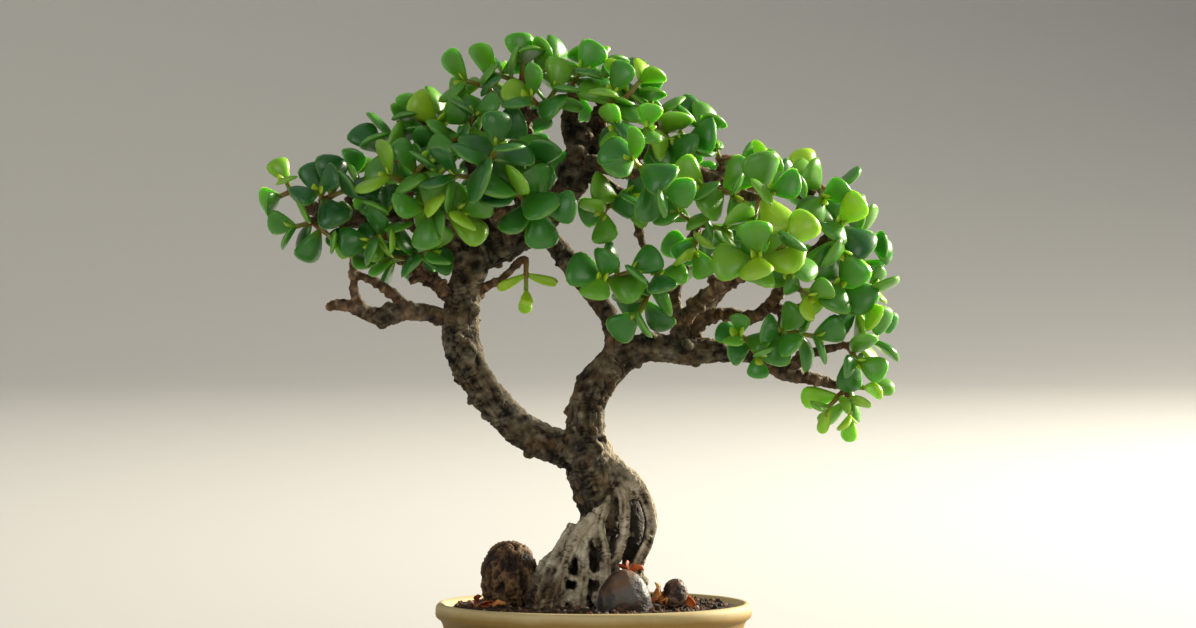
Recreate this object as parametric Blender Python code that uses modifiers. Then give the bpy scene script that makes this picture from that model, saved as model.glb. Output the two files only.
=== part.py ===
"""A small jade bonsai: a forked, gnarled trunk on surface roots, leafy sprays, stones and soil in an oval pot.

Lengths below are in millimetres and become metres in the meshes. +Z is up, the front looks along +Y,
and the origin lies under the middle of the whole tree, on the surface that the pot stands on.
"""

import math

import bmesh
import bpy
import numpy as np
from mathutils.bvhtree import BVHTree

MM = 0.001
SEED = 23
CLEAR = 0.3                 # gap between pieces that touch
POT_X = 4.0                 # the pot's middle, to the right of the canopy's middle
POT_HALF_WIDTH = 50.7
POT_DEPTH_RATIO = 0.8       # depth of the oval over its width
RIM_HEIGHT = 38.0
FOOT_HEIGHT = 4.5
FLOOR_TOP = 9.0             # the pot's inner floor
DRAIN_RADIUS = 4.0
FOOT_RADIUS = 5.5
FOOT_AWAY = (25.0, 18.0)    # from the pot's middle, in x and in y
POT_STEPS = 36
SOIL_STEPS = 32
SOIL_TOP = 37.0
PEG_RADIUS = 8.0            # the buried root stock
PEG_DEPTH = 12.0
LEAF_LENGTH = 12.6
LEAF_WIDTH = 0.84           # over the leaf's length
LEAF_THICKNESS = 0.17       # over the leaf's length
LEAF_RIM_POINTS = 8
LEAF_CAMBER = 0.13
SKY_PULL = 0.7              # how far a leaf turns its upper face to the sky
STEM_RADIUS = 1.05
SEAT_RADIUS = 1.25          # cut face of the twig that carries a spray
TWIG_RADIUS = 2.0
PAIR_SPACING = 5.0          # between leaf pairs along a shoot
LEAF_MARGIN = 0.35          # air round a blade, to other sprays and wood
FRONT_DEPTH = 1.3           # the canopy's reach forwards over that of the rows below
BACK_DEPTH = 1.03           # and its reach backwards
FORK_AT = 2.2               # from a shoot's start to where the others of its spray leave it
SPRAY_RATIO = 0.7          # triangles kept once a spray's seams are folded away
WOOD_RATIO = 0.62
STOUT_SIDES = 8             # sides of a limb, by its radius
SLIM_SIDES = 6
STOUT_RADIUS = 4.4
ROOT_SIDES = 5
TWIG_SIDES = 4
BARK_LUMPS = 0.09           # swelling of the wood over its radius

# Rows are x, y, z and radius, from the stock outwards.
LIMBS = {
    "stock": [(0, 2, 36, 9), (1, 2, 46, 7.4), (3.5, 1, 56, 6.9), (6.2, 0, 66, 7), (4.8, 0, 75, 8.4),
              (2.6, 0, 84, 8), (0, 0, 91, 6.6)],
    "left_limb": [(1, 0, 85, 6.4), (-8, -1, 88, 5.7), (-16, -2, 92, 5.5), (-22, -3, 96.5, 5.4),
                  (-28, -3, 102.5, 5.5), (-34, -3, 111, 5.7), (-38, -2, 119, 6), (-38.5, -1, 127, 6),
                  (-37.5, 0, 136, 5.6), (-36, 1, 143, 5.4), (-33, 1, 149, 5.2)],
    "crossing": [(-37, 1, 145, 5), (-28, 1, 151, 4.8), (-20, 1, 155, 5), (-13, 1, 160, 4.8),
                 (-7, 1, 166, 4.6), (-3, 0, 173, 5), (0, 0, 180, 5.4), (0, 0, 186, 4.6), (-2, 0, 191, 3.6)],
    "leader_left": [(-1, 0, 184, 3.8), (-3.5, -1, 191, 3.3), (-3, -1, 199, 2.4)],
    "leader_right": [(1, 0, 182, 4), (4.5, 0, 189, 3.2), (6, 1, 197, 2.2)],
    "right_limb": [(1, 0, 86, 6.8), (1.5, 0, 95, 6.2), (2.5, 0, 103, 5.8), (7, 1, 111, 6), (13, 2, 117, 5.4),
                   (20, 2, 119.5, 4.8), (28, 1, 119.5, 4.5), (35, 0, 119, 4.6), (44, -1, 118.5, 3.7),
                   (52, -1, 118.5, 3.2), (59, 0, 115, 2.9), (66, 0, 111.5, 2.6), (73, 0, 110, 2.1),
                   (79, 0, 108.5, 1.8)],
    "middle_branch": [(9, 1, 113, 3.6), (10.3, -1, 122, 3), (8.5, -2, 130, 3), (3.5, -2, 137, 3),
                      (-2, -1, 144, 3.2), (-7, 0, 151, 3.3), (-12, 1, 158, 3.4)],
    "rising_branch": [(32, 0, 119, 3.4), (31.5, -1, 127, 2.7), (29.5, -2, 135, 2.4), (31, -2, 143, 2.2),
                      (34, -2, 150, 2), (36, -2, 155, 1.8)],
    "knobbed_branch": [(34, 1, 121, 2.8), (39, 3, 128.5, 2.3), (47, 3, 130.5, 2.1), (54, 2, 129, 2.2),
                       (60, 0, 133, 2), (65, -1, 140, 2), (70, -1, 145.5, 1.9), (75, -1, 151, 1.7)],
    "outer_branch": [(60, 0, 133, 2), (67, 0, 131.5, 1.8), (74, 1, 134, 1.7), (80, 1, 138, 1.6)],
    "low_outer_branch": [(66, 0, 111.5, 2.4), (71, 1, 117, 1.8), (78, 1, 119, 1.6)],
    "top_right_branch": [(0, 0, 178, 3.8), (9, 0, 181, 3), (18, 0, 182.5, 2.6), (26, 0, 180.5, 2.4),
                         (34, 0, 177, 2.2), (42, 0, 174.5, 2.1), (50, 0, 174, 2.1), (58, 0, 172.5, 1.9),
                         (66, 0, 170, 1.7), (72, 0, 167.5, 1.5), (79, -1, 160, 1.4)],
    "hanging_twig": [(3, 0, 175, 2.4), (11, -4, 170, 2), (17.5, -6, 166, 1.7), (18.5, -6, 158, 1.4),
                     (20.5, -6, 149.5, 0.9)],
    "left_branch": [(-37, 1, 146, 4.4), (-42, 0, 154, 4.2), (-48, 0, 159, 3.9), (-56, 0, 162.5, 3.5),
                    (-64, 0, 163, 3.1), (-72, 0, 161, 2.8), (-79, 0, 161.5, 2.6), (-85, 0, 164, 2.4),
                    (-89, 0, 167, 2)],
    "upper_left_branch": [(-44, 0, 157, 3.2), (-47, 1, 165, 2.7), (-51, 1, 173, 2.5), (-57, 0, 179, 2)],
    "upper_left_fork": [(-50, 1, 171, 2.4), (-47, 2, 179, 2.1), (-46.5, 1, 187, 1.7)],
    "top_left_branch": [(-27, 1, 153, 3.8), (-31, 0, 162, 3.1), (-33, -1, 171, 2.8), (-34, -1, 180, 2.5),
                        (-32, 0, 189, 2.1), (-30, 0, 196, 1.7)],
    "inner_left_branch": [(-10, 1, 164, 3.4), (-14, 1, 173, 2.7), (-17, 1, 182, 2.4), (-18, 1, 191, 2.1),
                          (-17.5, 1, 198, 1.7)],
    "low_left_branch": [(-40, -1, 128, 3.2), (-48, -1, 130.5, 2.7), (-56, -1, 131.5, 2.7), (-62, -1, 130, 3.2),
                        (-68, -1, 130.5, 2.4), (-74, -1, 133, 2), (-80, -1, 133.5, 1.5)],
    "low_left_fork": [(-54, -1, 131.5, 2), (-60, -1, 137, 1.7), (-66, -1, 141, 1.5), (-71.5, 0, 143, 1.3)],
    "low_left_side": [(-69, -1, 131, 1.9), (-72.5, -1, 137, 1.4), (-72.5, -1, 143, 1.2)],
    "low_left_gnarl": [(-40, -1, 133, 2.4), (-44.5, -2, 139, 1.9), (-49, -2, 143, 1.8), (-55, -2, 141, 1.2)],
    "limb_stub": [(-35, 0, 136, 2), (-30, -1, 139.5, 1.5), (-25.5, -2, 141.5, 1)],
    "back_left": [(-36, 1, 143, 3.6), (-41, 13, 151, 2.8), (-49, 26, 156, 2.2), (-55, 33, 158, 1.8)],
    "back_top_left": [(-14, 1, 160, 3.4), (-19, 13, 168, 2.6), (-22, 24, 174, 2.2), (-20, 35, 176, 1.8)],
    "back_top": [(0, 0, 177, 3.6), (7, 12, 179, 2.6), (14, 24, 179, 2.1), (23, 32, 175, 1.8)],
    "back_right": [(33, 0, 120, 3.4), (38, 12, 129, 2.6), (46, 24, 138, 2.2), (55, 31, 144, 1.8)],
    "back_top_right": [(40, 0, 175, 2.2), (45, 12, 172, 2), (52, 21, 168, 1.8)],
    "back_low_left": [(-37, 0, 132, 3), (-46, 10, 139, 2.2), (-55, 17, 144, 1.8)],
    "front_left": [(-21, 0, 155, 3.2), (-25, -10, 161, 2.5), (-30, -19, 167, 2)],
    "front_top": [(1, 0, 179, 3.4), (6, -11, 178, 2.5), (14, -21, 176, 2)],
    "front_right": [(32, -1, 128, 2.6), (40, -10, 137, 2.2), (50, -18, 143, 1.9)],
    "front_top_right": [(36, 0, 176, 2.2), (43, -9, 173, 1.9), (51, -16, 169, 1.7)],
}

ROOTS = {
    "arching_root": [(6, -1, 84, 4.6), (12, -2, 80, 3.6), (17.3, -3, 76, 2.8), (21, -3, 70, 2.4),
                     (22.4, -3, 64, 2.2), (21.4, -3, 58, 2.1), (18.6, -2, 52, 2.2), (16.5, 0, 44, 2.4),
                     (17, 3, 36, 2.6)],
    "inner_root": [(7, -3, 81, 3.6), (13, -5, 74, 2.3), (13.8, -6, 66, 2.1), (12.8, -6.5, 58, 2.1),
                   (10.2, -7.5, 50, 2), (9.6, -8, 36, 2.3)],
    "behind_root": [(8, 3, 79, 4), (14, 4, 71, 3.7), (17, 4.5, 62, 3.7), (16.5, 5, 52, 3.6), (18, 8, 36, 3.6)],
    "front_ridge": [(9.5, -4, 78, 2.4), (7.5, -6.4, 70, 2), (5.8, -7.2, 63, 2.1), (7, -8.2, 55, 2.4),
                    (7.3, -9.6, 46, 2.3), (6.4, -11, 36, 2.5)],
    "slant_ridge": [(8.5, -4.5, 74, 2.2), (4, -6.6, 66, 2), (-0.5, -7, 60, 2.3), (-4, -8.2, 53, 2.2),
                    (-6.4, -10, 45, 2.1), (-7, -12, 36, 2.3)],
    "front_root": [(1, -3.5, 64, 2.6), (0.8, -7.6, 56, 2.1), (0.5, -9.8, 47, 2.2), (-1, -12, 36, 2.6)],
    "front_left_root": [(-1, -3, 62, 2.8), (-4.5, -7, 54, 2.4), (-8, -10, 46, 2.5), (-11.5, -13, 36, 2.9)],
    "left_root": [(-1, -1, 62, 3.8), (-7, -4, 54, 2.9), (-11, -8, 46, 2.6), (-13.5, -12, 36, 2.8)],
    "low_left_root": [(-5, 0, 55, 2.8), (-11, -2, 50.5, 2.4), (-14.5, -6, 44, 2.2), (-16, -10, 36, 2.4)],
    "back_left_root": [(-1, 3, 60, 3), (-6, 7, 50, 2.5), (-10, 12, 42, 2.5), (-14, 17, 36, 2.6)],
    "back_root": [(1, 4, 62, 3), (0, 9, 50, 2.6), (-1, 14, 42, 2.6), (-2, 20, 36, 2.7)],
    "back_right_root": [(3, 4, 60, 3), (8, 9, 50, 2.5), (12, 14, 42, 2.5), (16, 19, 36, 2.6)],
    "web_left": [(-11, -11, 40, 1.6), (-8.5, -11, 43, 1.5), (-5.5, -11, 41, 1.5)],
    "web_middle": [(-5.5, -9.4, 49, 1.5), (-2.5, -9.6, 46.5, 1.4), (1, -9.6, 48.5, 1.4)],
    "web_low": [(-6.5, -11.8, 40.5, 1.5), (-3.5, -11.6, 42.5, 1.4), (-0.5, -11.4, 40.5, 1.5)],
    "web_right": [(0.6, -9.2, 50, 1.4), (4, -9.8, 47, 1.4), (7, -9.3, 48.5, 1.4)],
}

# A spray is its seat, then the tips of its shoots, then its leaf length over the usual one.
SPRAYS = [
    ((-91, 0, 170), [(-93, -3, 178)], 0.9),
    ((-82, -5, 167), [(-83, -12, 172), (-75, -11, 171)], 1.0),
    ((-74, 2, 165), [(-72, 4, 179)], 1.0),
    ((-84, -3, 161), [(-90, -6, 159), (-79, -8, 155)], 0.9),
    ((-61, 0, 183), [(-67, -2, 189), (-59, 2, 196)], 1.05),
    ((-47, 1, 191), [(-54, -3, 198), (-42, 2, 201)], 1.0),
    ((-54, -15, 171), [(-60, -20, 175), (-49, -22, 179)], 1.05),
    ((-44, -18, 163), [(-49, -27, 165), (-38, -26, 164)], 1.05),
    ((-35, -6, 187), [(-43, -11, 187), (-34, -13, 195)], 1.0),
    ((-29, 0, 201), [(-37, -3, 205), (-25, 4, 208)], 1.0),
    ((-31, -24, 172), [(-26, -32, 184), (-39, -30, 175)], 1.2),
    ((-17, -18, 165), [(-21, -27, 170), (-12, -27, 165)], 1.1),
    ((-18, 1, 202), [(-27, -3, 207), (-19, -1, 211), (-9, 3, 210)], 1.0),
    ((-13, -8, 195), [(-16, -15, 200), (-8, -13, 202)], 0.95),
    ((-3, -2, 202), [(0, -7, 208)], 1.0),
    ((7, 2, 200), [(4, 5, 210), (13, 3, 209)], 1.0),
    ((9, -7, 194), [(10, -14, 201), (19, -8, 205)], 0.95),
    ((24, 1, 189), [(22, -3, 200), (32, 0, 196)], 1.05),
    ((17, -12, 186), [(21, -19, 190), (12, -18, 190)], 0.9),
    ((33, -2, 183), [(38, -3, 190), (31, -9, 186)], 1.0),
    ((19, -27, 176), [(16, -35, 180), (25, -34, 172)], 1.05),
    ((45, 1, 179), [(43, -2, 186), (54, 2, 185)], 0.95),
    ((61, -4, 175), [(57, -9, 180), (67, -7, 179)], 0.95),
    ((74, 1, 170), [(75, 0, 177), (87, 2, 168)], 1.0),
    ((44, -14, 171), [(48, -21, 169), (38, -20, 172)], 1.0),
    ((55, -21, 168), [(59, -29, 170), (54, -29, 162)], 1.05),
    ((37, -6, 158), [(31, -12, 163), (45, -12, 158), (36, -13, 151)], 0.9),
    ((55, -24, 146), [(64, -31, 154), (55, -33, 150)], 1.15),
    ((79, -4, 156), [(82, -12, 161), (83, -12, 151)], 1.1),
    ((82, 3, 155), [(94, 2, 154), (90, 6, 147)], 0.95),
    ((82, -3, 141), [(82, -11, 141), (91, -8, 133)], 1.15),
    ((85, 6, 138), [(93, 5, 139), (97, 4, 130)], 0.72),
    ((82, 0, 120), [(93, -2, 122), (88, -8, 116)], 1.05),
    ((67, -9, 140), [(72, -16, 137), (66, -17, 143)], 0.85),
    ((64, -8, 127), [(63, -16, 125), (74, -13, 124)], 1.0),
    ((82, 0, 107.5), [(92, -2, 108), (85, -3, 97), (75, -3, 102)], 1.0),
    ((52, -8, 122), [(56, -15, 118), (50, -16, 125)], 0.75),
    ((8, -12, 141), [(7, -20, 143), (16, -19, 145)], 1.0),
    ((25, -8, 141), [(24, -17, 144), (18, -15, 131)], 1.1),
    ((-19, -2, 148), [(-18, -5, 138)], 0.85),
    ((11, -10, 167), [(7, -17, 163), (15, -17, 169)], 0.9),
    ((-73, 0, 147), [(-73, -5, 152)], 0.9),
    ((-52, -5, 147), [(-60, -9, 149), (-48, -11, 151)], 1.0),
    ((-63, -6, 157), [(-67, -11, 154), (-59, -12, 154)], 0.85),
    ((-46, 20, 161), [(-46, 22, 170), (-38, 28, 164)], 1.0),
    ((-57, 36, 160), [(-65, 41, 164), (-54, 45, 163)], 1.0),
    ((-24, 27, 180), [(-31, 32, 186), (-19, 30, 189)], 1.05),
    ((-19, 38, 177), [(-25, 45, 180), (-12, 45, 178)], 1.0),
    ((9, 22, 186), [(5, 30, 193), (16, 26, 193)], 1.05),
    ((26, 34, 175), [(24, 42, 181), (35, 41, 177)], 1.0),
    ((53, 24, 169), [(52, 32, 175), (63, 28, 171)], 1.05),
    ((58, 33, 146), [(57, 43, 150), (68, 37, 149)], 1.0),
    ((42, 22, 142), [(36, 29, 148), (46, 32, 149)], 1.0),
    ((-57, 19, 146), [(-66, 22, 148), (-57, 29, 150)], 0.95),
]

# A stone is its name, middle, half sizes, share of roughness, sides and colour.
STONES = [
    ("rough_stone", (-23, 0, 46), (8, 8.5, 10), 0.06, 12, (0.1, 0.05, 0.03)),
    ("smooth_stone", (13.8, -17, 38), (8.8, 6.3, 12), 0.02, 14, (0.1, 0.09, 0.09)),
    ("pebble", (30, -9, 41.5), (3.8, 3.4, 4.8), 0.04, 8, (0.05, 0.03, 0.03)),
]


def deepened(row):
    """A row with its y stretched forwards or backwards by the canopy's depth."""
    x, y, *rest = row
    return (x, y * (FRONT_DEPTH if y < 0 else BACK_DEPTH), *rest)


def unit(vector):
    """The vector over its length; rows of an array each over their own."""
    vector = np.asarray(vector, float)
    return vector / np.linalg.norm(vector, axis=-1, keepdims=True)


def smooth_path(rows, step):
    """Points about a step apart on the Catmull-Rom curve through the rows, radius included."""
    p = np.array(rows, float)
    p = np.vstack([2 * p[0] - p[1], p, 2 * p[-1] - p[-2]])
    t = np.linspace(0, 1, 12, endpoint=False)[:, None]
    spans = [0.5 * (2 * b + (c - a) * t + (2 * a - 5 * b + 4 * c - d) * t**2 + (3 * b - a - 3 * c + d) * t**3)
             for a, b, c, d in zip(p, p[1:], p[2:], p[3:])]
    dense = np.vstack(spans + [p[-2:-1]])
    gaps = np.linalg.norm(np.diff(dense[:, :3], axis=0), axis=1)
    along = np.concatenate([[0], np.cumsum(gaps)])
    at = np.linspace(0, along[-1], max(2, round(along[-1] / step) + 1))
    return np.column_stack([np.interp(at, along, dense[:, k]) for k in range(p.shape[1])])


def path_frames(path):
    """Tangents, sides and ups along a path, each side turned as little as possible from the one before."""
    tangents = unit(np.gradient(path[:, :3], axis=0))
    side = np.cross(tangents[0], (0.31, 0.87, 0.38))
    sides = []
    for tangent in tangents:
        side = unit(side - tangent * side.dot(tangent))
        sides.append(side)
    sides = np.array(sides)
    return tangents, sides, np.cross(tangents, sides)


def tube(path, sides, lumps=0.0, extra=0.0, roll=0.0):
    """A closed tube of rings round the path; lumps swell and flute it, extra is added to its radius."""
    _, side, up = path_frames(path)
    angle = roll + np.arange(sides) * 2 * math.pi / sides
    along = np.arange(len(path))[:, None]
    wave = 0.6 * np.sin(2 * angle + 1.7 * along + path[0, 0]) + 0.4 * np.sin(1.9 * along + path[0, 2])
    radius = (path[:, 3:4] * (1 + lumps * wave) + extra)[:, :, None]
    ring = np.cos(angle)[None, :, None] * side[:, None] + np.sin(angle)[None, :, None] * up[:, None]
    points = (path[:, None, :3] + radius * ring).reshape(-1, 3)
    row, column = np.meshgrid(np.arange(len(path) - 1) * sides, np.arange(sides), indexing="ij")
    after = (column + 1) % sides
    quads = np.stack([row + column, row + after, row + sides + after, row + sides + column], axis=-1)
    last = (len(path) - 1) * sides
    faces = quads.reshape(-1, 4).tolist()
    faces.append(list(range(sides))[::-1])
    faces.append(list(range(last, last + sides)))
    return points, faces


def unit_lens():
    """Points and triangles of a unit lens: a ring of rim points with one pole above and one below."""
    bm = bmesh.new()
    bmesh.ops.create_uvsphere(bm, u_segments=LEAF_RIM_POINTS, v_segments=2, radius=1)
    bmesh.ops.triangulate(bm, faces=bm.faces)
    points = np.array([v.co[:] for v in bm.verts])
    faces = [[v.index for v in f.verts] for f in bm.faces]
    bm.free()
    return points, faces


LENS_POINTS, LENS_FACES = unit_lens()


def blade(leaf, margin=0.0, shrink=1.0):
    """A leaf from the unit lens: an obovate outline, thickest past its middle, its tip bent back a little.

    The margin is added all round. Shrink below 1 keeps only the part of the blade near its tip.
    """
    base, out, face, length = leaf
    across = np.cross(face, out)
    x, y, z = LENS_POINTS.T
    along = 0.5 * (1 + x) + 0.06 * (1 - x * x)
    half_width = 0.5 * LEAF_WIDTH * length * (1 + 0.52 * x) / 1.06
    half_depth = 0.5 * LEAF_THICKNESS * length
    along = (1 - shrink) + shrink * along
    bend = -LEAF_CAMBER * length * along**2 + LEAF_CAMBER * 0.5 * length * along
    points = (base + out * (along * length + margin * x)[:, None]
              + across * (y * (half_width * shrink + margin))[:, None]
              + face * (z * (half_depth * shrink + margin) + bend)[:, None])
    return points


class Solid:
    """Points and faces with a search tree and a bounding ball, to test for a crossing."""

    def __init__(self, points, faces):
        self.centre = points.mean(axis=0)
        self.reach = np.linalg.norm(points - self.centre, axis=1).max()
        self.tree = BVHTree.FromPolygons([tuple(p) for p in points], faces)

    def meets(self, other):
        if np.linalg.norm(self.centre - other.centre) > self.reach + other.reach:
            return False
        return bool(self.tree.overlap(other.tree))


def twig_rows(seat, limb_points):
    """A twig from the best limb point to a seat: near, and better below the seat than above it."""
    seat = np.array(seat, float)
    apart = np.linalg.norm(limb_points[:, :3] - seat, axis=1)
    above = np.maximum(0, limb_points[:, 2] - seat[2] + 2)
    start = limb_points[np.argmin(apart + 0.5 * above)]
    span = seat - start[:3]
    middle = start[:3] + 0.5 * span + np.array((0, 0, -0.08)) * np.linalg.norm(span)
    wide = min(TWIG_RADIUS, start[3])
    return [(*start[:3], wide), (*middle, 0.5 * (wide + SEAT_RADIUS)), (*seat, SEAT_RADIUS)]


def shoot_path(start, leave, tip):
    """A shoot that leaves along a direction and curves to its tip, a quadratic curve."""
    start, tip = np.array(start, float), np.array(tip, float)
    length = np.linalg.norm(tip - start)
    knee = start + unit(leave) * 0.45 * length
    t = np.array((0, 0.22, 1))[:, None]
    points = (1 - t)**2 * start + 2 * t * (1 - t) * knee + t**2 * tip
    radius = STEM_RADIUS * (1 - 0.35 * t)
    return np.hstack([points, radius])


def path_at(path, distance):
    """The point and the direction at a distance along a path."""
    gaps = np.linalg.norm(np.diff(path[:, :3], axis=0), axis=1)
    along = np.concatenate([[0], np.cumsum(gaps)])
    point = np.array([np.interp(distance, along, path[:, k]) for k in range(3)])
    span = min(np.searchsorted(along, min(distance, along[-1] - 0.01), side="right"), len(gaps)) - 1
    return point, unit(path[span + 1, :3] - path[span, :3])


def spray_shoots(seat_path, tips):
    """The first shoot starts just off the twig's cut face; the others fork from it near its start."""
    tangent = unit(seat_path[-1, :3] - seat_path[-2, :3])
    start = seat_path[-1, :3] + tangent * CLEAR
    first = shoot_path(start, tangent, tips[0])
    shoots = [first]
    for tip in tips[1:]:
        fork, _ = path_at(first, FORK_AT)
        shoots.append(shoot_path(fork, np.array(tip) - fork + 3 * tangent, tip))
    return shoots


def leaf_pair(point, frame, turn, splay, length):
    """Two leaves across a shoot, each leaning out from its axis, faces towards its tip and the sky."""
    axis, side, up = frame
    pair = []
    for flip in (0, math.pi):
        radial = math.cos(turn + flip) * side + math.sin(turn + flip) * up
        out = math.cos(splay) * axis + math.sin(splay) * radial
        face = math.sin(splay) * axis - math.cos(splay) * radial + np.array((0, 0, SKY_PULL))
        face = unit(face - out * face.dot(out))
        pair.append((point + 0.1 * out, out, face, length))
    return pair


def settle(leaf, others, own):
    """The leaf as drawn, or turned or shortened in small steps until it crosses nothing; else None."""
    base, out, face, length = leaf
    across = np.cross(face, out)
    for size in (1.0, 0.86, 0.72):
        for lean, swing in ((0, 0), (0, 0.3), (0, -0.3), (0.3, 0), (-0.3, 0), (0.2, 0.55), (0.2, -0.55)):
            turned = unit(out + lean * face + swing * across)
            upper = unit(face - turned * face.dot(turned))
            trial = (base, turned, upper, length * size)
            body = Solid(blade(trial, LEAF_MARGIN), LENS_FACES)
            if any(body.meets(other) for other in others):
                continue
            outer = Solid(blade(trial, 0.1, 0.88), LENS_FACES)
            if not any(outer.meets(other) for other in own):
                return trial
    return None


def grow():
    """All limbs, twigs, shoots and leaves: the limb and twig paths, and each spray's shoots and leaves."""
    rng = np.random.default_rng(SEED)
    rows = [[deepened(row) for row in limb] for limb in LIMBS.values()]
    sprays = [(deepened(seat), [deepened(tip) for tip in tips], size) for seat, tips, size in SPRAYS]
    limbs = [smooth_path(limb, 9) for limb in rows]
    limb_points = np.vstack([smooth_path(limb, 2.5) for limb in rows])
    twigs = [smooth_path(twig_rows(seat, limb_points), 10) for seat, _, _ in sprays]
    roots = [smooth_path(rows, 8) for rows in ROOTS.values()]
    wood = [Solid(*tube(path, 7, extra=0.5)) for path in limbs]
    twig_solids = [Solid(*tube(path, 5, extra=0.4)) for path in twigs]
    shoots = [spray_shoots(twig, tips) for twig, (_, tips, _) in zip(twigs, sprays)]
    rolls = [[rng.uniform(0, math.pi / 2) for _ in group] for group in shoots]
    stems = [[Solid(*tube(path, 5, extra=0.4)) for path in group] for group in shoots]
    leaves = []
    blades = []
    for index, (group, (_, _, size)) in enumerate(zip(shoots, sprays)):
        others = wood + twig_solids + [s for k, g in enumerate(stems) if k != index for s in g]
        others += [b for g in blades for b in g]
        kept, own, own_blades = [], [], []
        for path, roll in zip(group, rolls[index]):
            tangents, sides, ups = path_frames(path)
            reach = np.linalg.norm(np.diff(path[:, :3], axis=0), axis=1).sum()
            stops = np.arange(reach - 0.7, FORK_AT + 0.2, -PAIR_SPACING)
            for rank, stop in enumerate(stops):
                point, _ = path_at(path, stop)
                near = round(stop / reach * (len(path) - 1))
                frame = (tangents[near], sides[near], ups[near])
                splay = math.radians(rng.uniform(34, 46) if rank == 0 else rng.uniform(58, 78))
                length = LEAF_LENGTH * size * rng.uniform(0.88, 1.1) * (0.86 if rank == 0 else 1)
                turn = roll + math.pi / 4 + rank * math.pi / 2
                for leaf in leaf_pair(point, frame, turn, splay, length):
                    placed = settle(leaf, others, own)
                    if placed is not None:
                        kept.append(placed)
                        own.append(Solid(blade(placed, 0.1, 0.88), LENS_FACES))
                        own_blades.append(Solid(blade(placed), LENS_FACES))
        leaves.append(kept)
        blades.append(own_blades)
    return limbs, twigs, roots, shoots, rolls, leaves


def finish_material(name, colour, roughness, subsurface=0.0):
    """A plain Principled finish."""
    material = bpy.data.materials.new(name)
    material.use_nodes = True
    shader = material.node_tree.nodes["Principled BSDF"]
    shader.inputs["Base Color"].default_value = (*colour, 1)
    shader.inputs["Roughness"].default_value = roughness
    shader.inputs["Metallic"].default_value = 0.0
    shader.inputs["Subsurface Weight"].default_value = subsurface
    return material


def mesh_object(name, points, faces, collection):
    """An object in metres from points in millimetres."""
    mesh = bpy.data.meshes.new(name)
    mesh.from_pydata((np.asarray(points) * MM).tolist(), [], faces)
    mesh.update()
    obj = bpy.data.objects.new(name, mesh)
    collection.objects.link(obj)
    return obj


def apply_modifiers(obj):
    """The object's mesh as its modifiers leave it, with the modifiers gone."""
    graph = bpy.context.evaluated_depsgraph_get()
    mesh = bpy.data.meshes.new_from_object(obj.evaluated_get(graph))
    obj.modifiers.clear()
    old, obj.data = obj.data, mesh
    bpy.data.meshes.remove(old)


def fuse(whole, pieces):
    """Joins closed pieces that run into an object to it: a Boolean union on a collection, applied."""
    group = bpy.data.collections.new(whole.name + "_pieces")
    bpy.context.scene.collection.children.link(group)
    for number, (points, faces) in enumerate(pieces):
        mesh_object(f"{whole.name}_piece_{number}", points, faces, group)
    union = whole.modifiers.new("union", "BOOLEAN")
    union.operand_type = "COLLECTION"
    union.collection = group
    union.operation = "UNION"
    union.solver = "MANIFOLD"
    apply_modifiers(whole)
    for obj in list(group.objects):
        mesh = obj.data
        bpy.data.objects.remove(obj)
        bpy.data.meshes.remove(mesh)
    bpy.data.collections.remove(group)


def cut(obj, cutter, operation="DIFFERENCE"):
    """A Boolean of an object with a cutter, applied."""
    boolean = obj.modifiers.new(operation.lower(), "BOOLEAN")
    boolean.operation = operation
    boolean.object = cutter
    boolean.solver = "MANIFOLD"
    apply_modifiers(obj)


def thin_out(obj, ratio):
    """Fewer triangles: the Decimate modifier folds away the slivers that the union leaves along its seams."""
    bm = bmesh.new()
    bm.from_mesh(obj.data)
    bmesh.ops.triangulate(bm, faces=bm.faces)
    bm.to_mesh(obj.data)
    bm.free()
    fold = obj.modifiers.new("thin_out", "DECIMATE")
    fold.ratio = ratio
    apply_modifiers(obj)


def cylinder(name, centre, radius, low, high, sides, collection):
    """An upright closed cylinder."""
    bm = bmesh.new()
    bmesh.ops.create_cone(bm, cap_ends=True, segments=sides, radius1=radius * MM, radius2=radius * MM,
                          depth=(high - low) * MM)
    mesh = bpy.data.meshes.new(name)
    bm.to_mesh(mesh)
    bm.free()
    obj = bpy.data.objects.new(name, mesh)
    obj.location = (centre[0] * MM, centre[1] * MM, 0.5 * (low + high) * MM)
    collection.objects.link(obj)
    return obj


def box(name, low, high, collection):
    """A closed box between two corners."""
    bm = bmesh.new()
    bmesh.ops.create_cube(bm, size=1)
    centre, size = (np.array(low) + high) * 0.5 * MM, (np.array(high) - low) * MM
    for vert in bm.verts:
        vert.co = centre + np.array(vert.co) * size
    mesh = bpy.data.meshes.new(name)
    bm.to_mesh(mesh)
    bm.free()
    obj = bpy.data.objects.new(name, mesh)
    collection.objects.link(obj)
    return obj


def turned(name, profile, steps, collection):
    """A profile turned round the pot's axis and squashed to its oval."""
    mesh = bpy.data.meshes.new(name)
    count = len(profile)
    closed = profile[0][0] > 0
    edges = [(i, (i + 1) % count) for i in range(count if closed else count - 1)]
    mesh.from_pydata([(x * MM, 0, z * MM) for x, z in profile], edges, [])
    obj = bpy.data.objects.new(name, mesh)
    collection.objects.link(obj)
    screw = obj.modifiers.new("turn", "SCREW")
    screw.steps = steps
    screw.render_steps = steps
    screw.use_merge_vertices = True
    screw.merge_threshold = 0.00001
    obj.location = (POT_X * MM, 0, 0)
    obj.scale = (1, POT_DEPTH_RATIO, 1)
    return obj


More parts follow.
